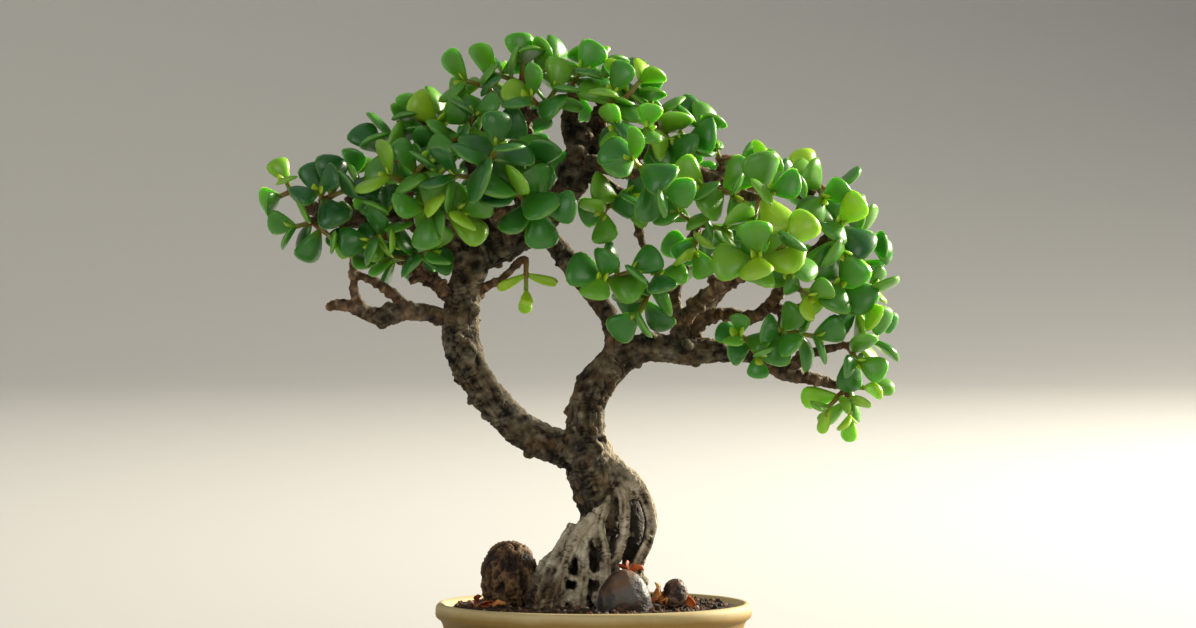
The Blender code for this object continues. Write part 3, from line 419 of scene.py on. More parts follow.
def spray_shoots(seat_path, tips):
    """The first shoot starts just off the twig's cut face; the others fork from it near its start."""
    tangent = unit(seat_path[-1, :3] - seat_path[-2, :3])
    start = seat_path[-1, :3] + tangent * CLEAR
    first = shoot_path(start, tangent, tips[0])
    shoots = [first]
    for tip in tips[1:]:
        fork, _ = path_at(first, FORK_AT)
        shoots.append(shoot_path(fork, np.array(tip) - fork + 3 * tangent, tip))
    return shoots


def leaf_pair(point, frame_at, turn, splay, length):
    """Two leaves across a shoot, each leaning out from its axis, faces towards its tip and the sky."""
    axis, side, up = frame_at
    pair = []
    for flip in (0, math.pi):
        radial = math.cos(turn + flip) * side + math.sin(turn + flip) * up
        out = math.cos(splay) * axis + math.sin(splay) * radial
        face = math.sin(splay) * axis - math.cos(splay) * radial + np.array((0, 0, SKY_PULL))
        face = unit(face - out * face.dot(out))
        pair.append((point + 0.1 * out, out, face, length))
    return pair


def settle(leaf, others, own):
    """The leaf as drawn, or turned or shortened in small steps until it crosses nothing; else None."""
    base, out, face, length = leaf
    across = np.cross(face, out)
    for size in (1.0, 0.86, 0.72):
        for lean, swing in ((0, 0), (0, 0.3), (0, -0.3), (0.3, 0), (-0.3, 0), (0.2, 0.55), (0.2, -0.55)):
            turned = unit(out + lean * face + swing * across)
            upper = unit(face - turned * face.dot(turned))
            trial = (base, turned, upper, length * size)
            body = Solid(blade(trial, LEAF_MARGIN), LENS_FACES)
            if any(body.meets(other) for other in others):
                continue
            outer = Solid(blade(trial, 0.1, 0.88), LENS_FACES)
            if not any(outer.meets(other) for other in own):
                return trial
    return None


def grow():
    """The twigs, shoots and leaves: one seeded draw, spray by spray and leaf by leaf."""
    rng = np.random.default_rng(SEED)
    rows = [[deepened(row) for row in limb] for limb in LIMBS.values()]
    sprays = [(deepened(seat), [deepened(tip) for tip in tips], size) for seat, tips, size in SPRAYS]
    limbs = [smooth_path(limb, 9) for limb in rows]
    limb_points = np.vstack([smooth_path(limb, 2.5) for limb in rows])
    twigs = [smooth_path(twig_rows(seat, limb_points), 10) for seat, _, _ in sprays]
    wood = [Solid(*tube(path, 7, extra=0.5)) for path in limbs]
    twig_solids = [Solid(*tube(path, 5, extra=0.4)) for path in twigs]
    shoots = [spray_shoots(twig, tips) for twig, (_, tips, _) in zip(twigs, sprays)]
    rolls = [[rng.uniform(0, math.pi / 2) for _ in group] for group in shoots]
    stems = [[Solid(*tube(path, 5, extra=0.4)) for path in group] for group in shoots]
    leaves = []
    blades = []
    for index, (group, (_, _, size)) in enumerate(zip(shoots, sprays)):
        others = wood + twig_solids + [s for k, g in enumerate(stems) if k != index for s in g]
        others += [b for g in blades for b in g]
        kept, own, own_blades = [], [], []
        for path, roll in zip(group, rolls[index]):
            tangents, sides, ups = path_frames(path)
            reach = distances(path)[-1]
            stops = np.arange(reach - TIP_INSET, FORK_AT + 0.2, -PAIR_SPACING)
            for rank, stop in enumerate(stops):
                point, _ = path_at(path, stop)
                near = round(stop / reach * (len(path) - 1))
                frame_at = (tangents[near], sides[near], ups[near])
                splay = math.radians(rng.uniform(34, 46) if rank == 0 else rng.uniform(58, 78))
                length = LEAF_LENGTH * size * rng.uniform(0.88, 1.1) * (0.86 if rank == 0 else 1)
                turn = roll + math.pi / 4 + rank * math.pi / 2
                for leaf in leaf_pair(point, frame_at, turn, splay, length):
                    placed = settle(leaf, others, own)
                    if placed is not None:
                        kept.append(placed)
                        own.append(Solid(blade(placed, 0.1, 0.88), LENS_FACES))
                        own_blades.append(Solid(blade(placed), LENS_FACES))
        leaves.append(kept)
        blades.append(own_blades)
    return twigs, shoots, leaves


# Patterns worked out over whole arrays of points.


def lattice(cells, seed):
    """Numbers from 0 to 1 that look random, one for each whole-number cell: a hash of its three coordinates."""
    x, y, z = np.moveaxis(cells.astype(np.int64), -1, 0)
    h = (x * 374761393 + y * 668265263 + z * 1440662683 + seed * 1274126177) & 0xFFFFFFFF
    h = ((h ^ (h >> 13)) * 1274126177) & 0xFFFFFFFF
    return (h ^ (h >> 16)) / 0xFFFFFFFF


def noise(points, size, seed):
    """Smooth noise from -1 to 1: hashed numbers at the corners of cubes of that size, blended by 3f^2 - 2f^3."""
    at = np.asarray(points, float) / size
    cell = np.floor(at)
    f = at - cell
    f = f * f * (3 - 2 * f)
    total = np.zeros(len(at))
    for corner in np.ndindex(2, 2, 2):
        weight = np.prod(np.where(corner, f, 1 - f), axis=1)
        total += weight * lattice(cell + corner, seed)
    return 2 * total - 1


def layered(points, size, seed, layers=3):
    """Noise at a size plus half as much at half the size, and so on, kept within -1 and 1."""
    total = sum(noise(points, size / 2**k, seed + k) / 2**k for k in range(layers))
    return total / (2 - 2**(1 - layers))


def ease(low, high, value):
    """0 below low, 1 above high and a smooth S between them."""
    t = np.clip((value - low) / (high - low), 0, 1)
    return t * t * (3 - 2 * t)


# Meshes.


def piece_mesh(name, points, faces, values, smooth=True):
    """A mesh in metres from points in millimetres, with its faces outwards and a number a point per name."""
    mesh = bpy.data.meshes.new(name)
    mesh.from_pydata((np.asarray(points) * MM).tolist(), [], faces)
    for key, numbers in values.items():
        mesh.attributes.new(key, "FLOAT", "POINT").data.foreach_set("value", np.asarray(numbers, np.float32))
    bm = bmesh.new()
    bm.from_mesh(mesh)
    bmesh.ops.recalc_face_normals(bm, faces=bm.faces)
    bm.to_mesh(mesh)
    bm.free()
    mesh.polygons.foreach_set("use_smooth", np.full(len(mesh.polygons), smooth))
    mesh.update()
    return mesh


def place(name, body, material, slot, *nodes, smooth=True):
    """A piece from its points, faces and values: it rides on the tree's one body and stands for its nodes."""
    mesh = piece_mesh(name, *body, smooth)
    obj = bpy.data.objects.new(name, mesh)
    bpy.context.scene.collection.objects.link(obj)
    mesh.materials.append(material)
    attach(obj, "root")
    if nodes:
        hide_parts(*nodes)
    return obj


def joined(parts):
    """Several (points, faces, values) as one, the face numbers moved on."""
    points, faces, values = [], [], {}
    count = 0
    for part_points, part_faces, part_values in parts:
        points.append(part_points)
        faces += [[index + count for index in face] for face in part_faces]
        for key, numbers in part_values.items():
            values.setdefault(key, []).append(np.broadcast_to(numbers, len(part_points)))
        count += len(part_points)
    return np.vstack(points), faces, {key: np.concatenate(numbers) for key, numbers in values.items()}


def one_skin(pieces, spacing):
    """The outer skin round all the closed pieces, as even quads: points, quads and normals, in millimetres."""
    mesh = piece_mesh("loose_wood", *joined([(points, faces, {}) for points, faces in pieces]))
    obj = bpy.data.objects.new("loose_wood", mesh)
    bpy.context.scene.collection.objects.link(obj)
    skin = obj.modifiers.new("skin", "REMESH")
    skin.mode = "VOXEL"
    skin.voxel_size = spacing * MM
    graph = bpy.context.evaluated_depsgraph_get()
    whole = bpy.data.meshes.new_from_object(obj.evaluated_get(graph))
    bpy.data.objects.remove(obj)
    bpy.data.meshes.remove(mesh)
    co = np.empty(len(whole.vertices) * 3)
    normal = np.empty(len(whole.vertices) * 3)
    whole.vertices.foreach_get("co", co)
    whole.vertices.foreach_get("normal", normal)
    corners = np.empty(len(whole.loops), int)
    starts = np.empty(len(whole.polygons), int)
    whole.loops.foreach_get("vertex_index", corners)
    whole.polygons.foreach_get("loop_start", starts)
    quads = [c.tolist() for c in np.split(corners, starts[1:])]
    bpy.data.meshes.remove(whole)
    return co.reshape(-1, 3) / MM, quads, normal.reshape(-1, 3)


class Course:
    """Samples along many paths: centres, radii, frames, distance along, and whether each is a root's."""

    def __init__(self, paths, rooted):
        """All the paths' samples in one row, path after path."""
        tangents, sides, ups = zip(*(path_frames(path) for path in paths))
        self.centres = np.vstack([path[:, :3] for path in paths])
        self.radii = np.concatenate([path[:, 3] for path in paths])
        self.tangents, self.sides, self.ups = np.vstack(tangents), np.vstack(sides), np.vstack(ups)
        self.along = np.concatenate([PATH_SHIFT * k + distances(path) for k, path in enumerate(paths)])
        self.rooted = np.concatenate([np.full(len(path), flag, float) for path, flag in zip(paths, rooted)])

    def nearest(self, points):
        """For each point the sample whose ball it is nearest to: the least distance^2 - radius^2."""
        squares = (self.centres**2).sum(axis=1) - self.radii**2
        found = [np.argmin(squares - 2 * block @ self.centres.T, axis=1)
                 for block in np.array_split(points, max(1, len(points) // SEARCH_BLOCK))]
        return np.concatenate(found)

    def place_on(self, points):
        """Distance along, angle round, local radius and root share for each point."""
        near = self.nearest(points)
        away = points - self.centres[near]
        along = self.along[near] + (away * self.tangents[near]).sum(axis=1)
        angle = np.arctan2((away * self.ups[near]).sum(axis=1), (away * self.sides[near]).sum(axis=1))
        return along, angle, self.radii[near], self.rooted[near]


def burrs(paths, rng, spacing, size):
    """Small balls half sunk in the wood, about a spacing apart along each path and turned by chance round it."""
    found = []
    for path in paths:
        _, sides, ups = path_frames(path)
        stops = np.arange(rng.uniform(1, 3), len(path) - 1, spacing / PATH_STEP)
        for k in (stops + rng.uniform(-1, 1, len(stops))).astype(int).clip(0, len(path) - 1):
            turn = rng.uniform(0, 2 * math.pi)
            radius = path[k, 3]
            knob = radius * size * rng.uniform(0.7, 1.3)
            out = math.cos(turn) * sides[k] + math.sin(turn) * ups[k]
            found.append(ball(path[k, :3] + out * (radius - 0.25 * knob), (knob,) * 3, 5, 8))
    return found


def occlusion_for_shade(points, normals, balls):
    """How shut in each point is, used as painted shade on the bark: the sum over balls of half a step * radius *
    cosine / distance^2, up to 1.

    The balls are x, y, z and radius a step apart along the wood. The cosine is that between the point's normal
    and the way to the ball, and a ball that the point lies on doesn't count.
    """
    total = []
    for block, normal in zip(*(np.array_split(rows, OCCLUSION_BLOCKS) for rows in (points, normals))):
        way = balls[None, :, :3] - block[:, None]
        square = (way**2).sum(axis=2)
        cosine = (way * normal[:, None]).sum(axis=2) / np.sqrt(square + 1e-9)
        counted = square > (1.25 * balls[:, 3])**2
        total.append((0.5 * PATH_STEP * balls[:, 3] * np.maximum(cosine, 0) / (square + 1e-9) * counted).sum(axis=1))
    return np.clip(np.concatenate(total), 0, 1)


def behind_arch(points, normals):
    """Painted shade on the face of the root behind the arch: inside its oval, and turned to the front."""
    x, y, z = points.T
    oval = ((x - 14) / 6.5)**2 + ((z - 62) / 15)**2
    return ease(1.15, 0.8, oval) * ease(-1.5, 0.5, y) * ease(0.3, -0.2, normals[:, 1])


def barked(points, normals, course):
    """Bark raised on a skin along its normals.

    Height = broad swellings + lumps - short cross cracks - lengthwise splits, each deeper on thick wood. Cross
    cracks are the troughs of a wave along the limb that noise bends and breaks up; splits are where a noise
    drawn out along the limb is near zero. On roots the noise is drawn out further, which leaves fibres in place
    of cracks. Thin twigs get a pair of scars every few millimetres, each pair a quarter turn from the last. The
    earthy share grows towards the soil and to the left, where the roots are brown with it, and the painted light
    with how far the wood faces up and to the right, towards the key lamp: a pale painted highlight on that side.
    """
    along, angle, radius, rooted = course.place_on(points)
    rooted = np.maximum(rooted, ease(62, 50, points[:, 2])) * ease(88, 72, points[:, 2])
    stout = np.clip((radius - 1.4) / 3.6, 0, 1)
    thin = 1 - ease(1.9, 3.3, radius)
    swell = 0.12 * radius * layered(points, 8, 3)
    lumps = (0.3 + 0.5 * stout) * layered(points, 3.4, 11, 3) + (0.14 + 0.22 * stout) * noise(points, 1.5, 14)
    wave = along / (1.0 + 0.16 * radius) + 1.3 * noise(points, 4.5, 21) + 0.7 * noise(points, 1.9, 22)
    crest = np.abs(2 * (wave - np.floor(wave)) - 1)
    cross = ease(0.5, 1.0, crest) * ease(-0.35, 0.45, noise(points, 3.6, 23))
    drawn = np.column_stack([radius * np.cos(angle), radius * np.sin(angle), along * 0.32])
    split = (1 - ease(0.0, 0.3, np.abs(noise(drawn, 2.1, 31)))) * ease(-0.5, 0.2, noise(points, 4, 24))
    fibres = layered(np.column_stack([drawn[:, :2], along * 0.08]), 1.5, 41, 2)
    step = along / SCAR_SPACING
    order = np.round(step)
    scar = np.exp(-((step - order) * SCAR_SPACING / 0.55)**2) * np.cos(angle + 0.5 * math.pi * order)**2
    rough = lumps - cross * (0.1 + 0.42 * stout) - split * (0.08 + 0.36 * stout) + 0.42 * scar * thin
    smooth = 0.85 * lumps + 0.5 * fibres - 0.3 * cross
    height = rough * (1 - rooted) + smooth * rooted
    grit = 0.11 * noise(points, 1.0, 51)
    relief = np.clip(0.54 + 0.05 * rooted + (height + grit) / (0.75 + 0.8 * stout), 0, 1)
    raised = points + normals * (swell + height + grit)[:, None]
    youth = 1 - ease(1.6, 3.8, radius)
    earthy = np.maximum(ease(52, 44, points[:, 2]) * ease(-2, -9, points[:, 0]), 0.5 * ease(41, 38, points[:, 2]))
    # Painted light: pale on the sides of the wood that face the key lamp.
    bleached = ease(0.45, 0.95, normals @ LIT_SIDE + 0.25 * noise(points, 2.6, 61))
    return raised, {"relief": relief, "rooted": rooted, "youth": youth, "earthy": earthy, "bleached": bleached}


def ball(centre, radii, rows=9, columns=14):
    """A closed ball: centre + radii * (cos u cos v, cos u sin v, sin u)."""
    u = np.linspace(-0.5 * math.pi, 0.5 * math.pi, rows + 2)[1:-1, None]
    v = np.arange(columns)[None, :] * 2 * math.pi / columns
    shell = np.stack([np.cos(u) * np.cos(v), np.cos(u) * np.sin(v), np.sin(u) + 0 * v], axis=-1)
    centre, radii = np.array(centre, float), np.array(radii, float)
    return capped(centre + radii * shell, centre - (0, 0, radii[2]), centre + (0, 0, radii[2]))


# Knots and the stumps of old twigs, as x, y, z and radius.
KNOTS = [(-1, -4, 181, 3.6), (3, -4.5, 176, 3), (-5, -3, 176, 3), (1, -3, 188, 3), (6, -2, 184, 2.6),
         (-4, -2, 194, 2.2), (-36, -5, 113, 2.2), (-41, -3, 125, 2.4), (-34, -4, 132, 2.2), (-24, -7, 97, 2),
         (-39, -3, 139, 2.6), (-33, -2.5, 151, 2.8), (9, -3, 115, 2.2), (33, -3.5, 120, 2.8), (37, -2, 116, 2.4),
         (45, -3.5, 119.5, 2), (5, -5.4, 88, 2.2), (-3, -4, 93, 2), (22, -1, 123, 2), (-16, -3, 157.5, 2.4)]
BRANCH_KNOTS = [(-62, -3, 130, 2.2), (-70, -2, 132, 1.9), (-76, -2, 134, 1.7), (-80, -1, 133, 1.6),
                (-54, -2.5, 133, 1.7), (-66, -2, 141, 1.4), (54, 1, 130, 2), (58, -1, 131, 1.7),
                (62, -1, 113, 1.9), (70, -1, 111, 1.7), (76, -1, 109, 1.6), (60, 0, 172, 1.6),
                (-50, -2, 160, 2.4), (-70, -2, 162, 2.2), (-80, -1, 162, 2), (-33, -2, 172, 2), (-17, -1, 184, 1.8),
                (20, -7, 166, 1.5), (31, -3, 145, 1.7), (-49, -3, 143, 1.5), (-73, -2, 143, 1.2)]
ROOT_KNOTS = [(-13, -5, 41, 3), (-10, -8, 45, 2.4), (-14.5, -6, 46, 2.2), (-9, -6, 51, 2.2), (-4, -7, 55, 2.2),
              (3, -7, 60, 2), (9, -4, 77, 2.8), (19, -3, 74, 2.6), (5, -10, 41, 2), (-3, -11, 40, 2),
              (-15.5, -8, 40, 3), (-12, -9.5, 42, 2.6), (-15.5, -5, 43, 2.6), (-11, -8, 48, 2.3)]


def make_wood(twigs, bark):
    """The thick wood with its roots, and the branches with their twigs, each under one skin of bark."""
    limbs = {name: smooth_path([deepened(row) for row in rows], PATH_STEP) for name, rows in LIMBS.items()}
    roots = [smooth_path(rows, PATH_STEP) * (1, 1, 1, 1 if name in ARCHING else WEB_SLIMNESS)
             for name, rows in ROOTS.items()]
    peg = np.array([(0, 0, SOIL_TOP - PEG_DEPTH, PEG_RADIUS), (0, 0, SOIL_TOP + 3, PEG_RADIUS)], float)
    thick = [limbs[name] for name in THICK_WOOD]
    thin = [path for name, path in limbs.items() if name not in THICK_WOOD]
    thin += [smooth_path(twig, PATH_STEP) for twig in twigs]
    low_wood = np.vstack(roots + [limbs["stock"]])

    def skinned(name, paths, knots, extra, rooted, spacing):
        """One skin round the paths, the knots and the extra pieces, with its bark raised and its values kept."""
        pieces = [tube(path, 20 if path[0, 3] > 3 else 12) for path in paths]
        pieces += [ball(knot[:3], (knot[3],) * 3) for knot in knots] + extra
        points, quads, normals = one_skin(pieces, spacing)
        raised, values = barked(points, normals, Course(paths, rooted))
        # Painted shade: the bark darkens where low wood is shut in by other wood, and on the root face behind the
        # arch.
        low = points[:, 2] < OCCLUSION_BELOW
        values["shelter"] = np.zeros(len(points))
        if low.any():
            values["shelter"][low] = occlusion_for_shade(points[low], normals[low], low_wood)
            values["shelter"] = np.maximum(values["shelter"], behind_arch(points, normals))
        place(name, (raised, quads, values), bark, "bark", "trunk")

    knots = [deepened(knot) for knot in KNOTS] + ROOT_KNOTS
    rng = np.random.default_rng(SEED + 4)
    skinned("trunk_wood", thick + roots, knots,
            [tube(peg, 24)] + burrs(thick[1:], rng, 4.5, 0.3) + burrs(roots, rng, 5.0, 0.5),
            [False] * len(thick) + [True] * len(roots), TRUNK_GRID)
    skinned("branch_wood", thin, [deepened(knot) for knot in BRANCH_KNOTS], burrs(thin, rng, 2.8, 0.55),
            [False] * len(thin), BRANCH_GRID)


# Sprays of narrow, drooping young leaves, with their width over the usual one.
SLENDER = {33: 0.85, 36: 0.66, 40: 0.56}


def leaf_skin(leaf, rng, slender=1.0):
    """A plump jade leaf round its plain blade.

    Stations run from the base to the tip as x = -cos t. The half width at x is that of the blade, and the half
    depth swells sooner, as (1 - x^2)^0.3, for a round edge. The camber, edges that droop by the square of the way
    across, and a small twist are added to the points across the leaf.
    """
    base, out, face, length = leaf
    across = np.cross(face, out)
    x = -np.cos(np.linspace(0, math.pi, LEAF_STATIONS))[:, None]
    angle = np.arange(LEAF_ROUND)[None, :] * 2 * math.pi / LEAF_ROUND
    edge = np.sqrt(np.clip(1 - x * x, 0, 1))
    wide = rng.uniform(0.98, 1.1) * slender
    half_width = 0.5 * LEAF_WIDTH * length * (1 + 0.52 * x) / 1.06 * edge * wide
    half_depth = 0.5 * LEAF_THICKNESS * length * edge**0.6 * (1 + 0.2 * x) * rng.uniform(1.0, 1.35)
    y = np.cos(angle)
    z = np.sin(angle)
    along = 0.5 * (1 + x) + 0.06 * (1 - x * x)
    bend = (-LEAF_CAMBER * along**2 + LEAF_CAMBER * 0.5 * along) * length * rng.uniform(0.8, 1.4)
    dish = rng.uniform(0.0, 0.1) * length * edge * (0.4 - y * y)
    twist = rng.uniform(-0.25, 0.25) * along
    side, rise = half_width * y, half_depth * z + dish
    side, rise = side - twist * rise, rise + twist * side
    rings = (base + out * (along * length + 0 * y)[..., None] + across * side[..., None]
             + face * (rise + bend)[..., None])
    points, faces = capped(rings[1:-1], rings[0].mean(axis=0), rings[-1].mean(axis=0))
    far = (x * x + (1 - x * x) * y * y)[1:-1].ravel()
    from_base = (along + 0 * y)[1:-1].ravel()
    return points, faces, {"rim": np.append(far, (1, 1)), "along": np.append(from_base, (0, 1))}


def shoot_skin(path):
    """A shoot: the path's corner eased by averaging, its radius swollen a little at each pair of leaves."""
    along = distances(path)
    at = np.linspace(-1.2, along[-1], 14)
    line = np.column_stack([np.interp(at, along, path[:, k]) for k in range(4)])
    line[:, :3] += np.minimum(at, 0)[:, None] * unit(path[1, :3] - path[0, :3])
    for _ in range(2):
        line[1:-1] = 0.25 * line[:-2] + 0.5 * line[1:-1] + 0.25 * line[2:]
    joint = (along[-1] - TIP_INSET - at) / PAIR_SPACING
    line[:, 3] *= 1 + 0.22 * np.exp(-((joint - np.round(joint)) * PAIR_SPACING / 0.7)**2)
    points, faces = tube(line, 10)
    age = 1 - np.repeat(np.clip(at / along[-1], 0, 1), 10)
    return points, faces, {"rim": 0, "along": 0, "stem": 0.25 + 0.75 * age, "tint": 0.5}


def make_sprays(shoots, leaves, finish):
    """One piece for each spray: its shoots, its leaves and a tiny new pair at each tip."""
    rng = np.random.default_rng(SEED + 1)
    for number, (group, blades) in enumerate(zip(shoots, leaves), start=1):
        parts = [shoot_skin(path) for path in group]
        mood = rng.normal(0, 0.1)
        slender = SLENDER.get(number, 1.0)
        for leaf in blades:
            points, faces, values = leaf_skin(leaf, rng, slender)
            young = max(0.0, 1 - leaf[3] / (0.85 * LEAF_LENGTH)) + 0.6 * (1 - slender)
            # The last term makes leaves further right, towards the key lamp, yellower and lighter: painted light.
            tint = np.clip(0.42 + mood + rng.normal(0, 0.2) + 1.2 * young + 0.0012 * leaf[0][0], 0, 1)
            parts.append((points, faces, {**values, "stem": 0, "tint": tint}))
        for path in group:
            axis = unit(path[-1, :3] - path[-2, :3])
            side = unit(np.cross(axis, (0.2, 0.9, 0.3)))
            for sign in (1, -1):
                out = unit(axis + 0.5 * sign * side)
                face = unit(np.cross(out, np.cross(axis, out) + 1e-6))
                points, faces, values = leaf_skin((path[-1, :3] - 0.3 * axis, out, face, rng.uniform(3, 4.4)), rng)
                parts.append((points, faces, {**values, "stem": 0, "tint": 0.95}))
        place(f"leaves_{number:02d}", joined(parts), finish, "leaf", f"spray_{number:02d}")


def curved_profile(corners, step=1.0):
    """A closed profile through its corners as a Catmull-Rom curve, its points about a step apart."""
    rows = [(x, 0, z) for x, z in corners]
    path = smooth_path(rows + rows[:1], step)
    return path[:-1, (0, 2)]


def make_pot(stoneware):
    """The pot: a profile turned round its oval, with faint throwing rings, and four feet turned the same way."""
    half = POT_HALF_WIDTH
    corners = [(half - 3.2, RIM_HEIGHT - 0.9), (half - 2, RIM_HEIGHT), (half - 0.8, RIM_HEIGHT - 0.3),
               (half, RIM_HEIGHT - 1.8), (half - 0.2, RIM_HEIGHT - 4.6), (half - 1.8, RIM_HEIGHT - 5.8),
               (half - 3.2, RIM_HEIGHT - 10), (half - 5.4, 21), (half - 7.5, 14), (half - 10.5, FOOT_HEIGHT + 1.2),
               (half - 12, FOOT_HEIGHT), (30, FOOT_HEIGHT), (20, FOOT_HEIGHT), (10, FOOT_HEIGHT),
               (DRAIN_RADIUS, FOOT_HEIGHT), (DRAIN_RADIUS, FLOOR_TOP), (10, FLOOR_TOP), (20, FLOOR_TOP),
               (30, FLOOR_TOP), (half - 14.5, FLOOR_TOP), (half - 11, 16), (half - 7.6, 26), (half - 5.2, 34)]
    profile = curved_profile(corners, 0.9)
    flat = turned(profile, POT_COLUMNS, POT_X, POT_DEPTH_RATIO).reshape(-1, 3)
    outward = unit((flat - (POT_X, 0, 0)) * (1, 1, 0) + 1e-9)
    wobble = 0.18 * layered(flat, 24, 61) + 0.05 * np.sin(flat[:, 2] * 2.6) * ease(6, 12, flat[:, 2])
    flat = flat + outward * wobble[:, None] * ease(4.6, 8, flat[:, 2])[:, None]
    faces = ring_faces(len(profile), POT_COLUMNS).tolist()
    at = np.arange(POT_COLUMNS)
    after = (at + 1) % POT_COLUMNS
    last = (len(profile) - 1) * POT_COLUMNS
    faces += np.stack([last + at, last + after, after, at], axis=-1).tolist()
    parts = [(flat, faces, {})]
    foot_top = FOOT_HEIGHT + 1.5
    levels = [(0.0, 4.9), (0.4, 5.4), (1.4, FOOT_RADIUS), (foot_top, FOOT_RADIUS)]
    for x in (POT_X - FOOT_AWAY[0], POT_X + FOOT_AWAY[0]):
        for y in (-FOOT_AWAY[1], FOOT_AWAY[1]):
            stack = np.array([np.array((x, y, z)) + radius * circle(FOOT_COLUMNS) for z, radius in levels])
            parts.append((*capped(stack, (x, y, 0), (x, y, foot_top)), {}))
    place("pot_body", joined(parts), stoneware, "stoneware", "pot")


def soil_height(points):
    """The soil's top: a low mound at the trunk with small hills of noise."""
    away = np.hypot(points[:, 0] - 2, points[:, 1])
    return SOIL_TOP + 0.1 + 0.5 * np.exp(-(away / 22)**2) + 0.45 * layered(points * (1, 1, 0), 6, 71)


def make_soil(ground, crumb):
    """The soil: rings from the middle of its top to its edge and down inside the pot, and loose crumbs on it."""
    half = POT_HALF_WIDTH
    top = [(r, SOIL_TOP) for r in np.linspace(1.2, half - 6.0, 44)]
    sides = [(half - 5.5, 36.2), (half - 5.5, 34), (half - 11.4, 16), (half - 14.9, FLOOR_TOP + CLEAR)]
    rings = turned(top + sides, SOIL_COLUMNS, POT_X, POT_DEPTH_RATIO)
    upper = rings[:len(top)].reshape(-1, 3)
    upper[:, 2] = soil_height(upper)
    rings[:len(top)] = upper.reshape(len(top), SOIL_COLUMNS, 3)
    middle = np.array([[POT_X, 0, 0]])
    points, faces = capped(rings, (POT_X, 0, soil_height(middle)[0]), (POT_X, 0, FLOOR_TOP + CLEAR))
    place("soil_bed", (points, faces, {}), ground, "soil", "soil")
    rng = np.random.default_rng(SEED + 2)
    parts = []
    for _ in range(CRUMB_COUNT):
        angle, reach = rng.uniform(0, 2 * math.pi), math.sqrt(rng.uniform(0, 1)) * (half - 7)
        spot = np.array([[POT_X + reach * math.cos(angle), POT_DEPTH_RATIO * reach * math.sin(angle), 0]])
        size = rng.uniform(0.35, 1.0) * (1.7 if rng.uniform() < 0.08 else 1)
        spot[0, 2] = soil_height(spot)[0] + 0.25 * size
        radii = size * rng.uniform(0.6, 1.15, 3)
        grain, faces = ball((0, 0, 0), radii, 3, 6)
        spin = squared(rng.normal(size=(3, 3)))
        grain = (grain * (1 + 0.3 * noise(grain, 0.9, int(rng.integers(1e6)))[:, None])) @ spin
        parts.append((grain + spot[0], faces, {"tint": rng.uniform()}))
    place("soil_crumbs", joined(parts), crumb, "soil", smooth=False)


# Dry fallen leaves, as x, y, z of the middle, length and tint.
DRY_LEAVES = [((14.2, -12.2, 50.4), 5.6, 0.2), ((17.4, -12.6, 49.6), 5.0, 0.45), ((23.5, -13, 42.2), 6.4, 0.8),
              ((26.2, -12.4, 40.0), 5.4, 0.6), ((22.0, -15.5, 39.0), 5.0, 0.3), ((34.5, -9, 39.2), 4.6, 0.5),
              ((-33, -6, 39.2), 4.4, 0.1), ((-30, -10, 38.6), 4.0, 0.3), ((-26, -14, 38.6), 4.2, 0.7),
              ((9, 15, 38.6), 5.2, 0.4), ((-16, 14, 38.6), 4.8, 0.6), ((26, 12, 38.6), 5.0, 0.5)]


def make_dry_leaves(dried):
    """Curled dry leaves: an oval sheet of u, v, rolled up across by v^2 and along by u^2, given a thickness."""
    rng = np.random.default_rng(SEED + 3)
    u, v = np.meshgrid(np.linspace(-1, 1, 11), np.linspace(-1, 1, 9), indexing="ij")
    row, column = np.meshgrid(np.arange(10) * 9, np.arange(8), indexing="ij")
    sheet = np.stack([row + column, row + column + 1, row + column + 10, row + column + 9], axis=-1).reshape(-1, 4)
    parts = []
    for middle, length, tint in DRY_LEAVES:
        half = 0.5 * length
        flat = np.stack([u * half, 0.58 * half * v * np.sqrt(1.02 - u * u), 0 * u], axis=-1)
        flat[..., 2] = half * (0.5 * v * v - 0.35 * u * u + 0.12 * np.sin(5 * u + 3 * v + middle[0]))
        spin = squared(rng.normal(size=(3, 3)) + 1.6 * np.eye(3))
        points = flat.reshape(-1, 3) @ spin + middle
        parts.append((points, sheet.tolist(), {"tint": tint + 0.1 * np.sin(4 * u + v).ravel()}))
    leaves = place("dry_leaves", joined(parts), dried, "soil")
    wall = leaves.modifiers.new("thickness", "SOLIDIFY")
    wall.thickness = 0.35 * MM
    wall.offset = 0.0


def stone_skin(centre, radii, rows, columns, dents, stretch=(1, 1, 1)):
    """A ball whose points move in and out by several sizes of noise: (size, depth, seed, sharp) each.

    A sharp one uses 1 - |noise|, which leaves ridges. Points below the soil's top stay just under it.
    """
    points, faces = ball((0, 0, 0), radii, rows, columns)
    normal = unit(points / np.array(radii)**2)
    height = np.zeros(len(points))
    for size, depth, seed, sharp in dents:
        value = layered(points * stretch + np.array(centre), size, seed)
        height += depth * ((1 - 2 * np.abs(value)) if sharp else value)
    points = points + normal * height[:, None] + np.array(centre)
    points[:, 2] = np.maximum(points[:, 2], SOIL_TOP - 1.5)
    relief = np.clip(0.5 + (height - height.mean()) / (4 * height.std()), 0, 1)
    return points, faces, {"relief": relief}


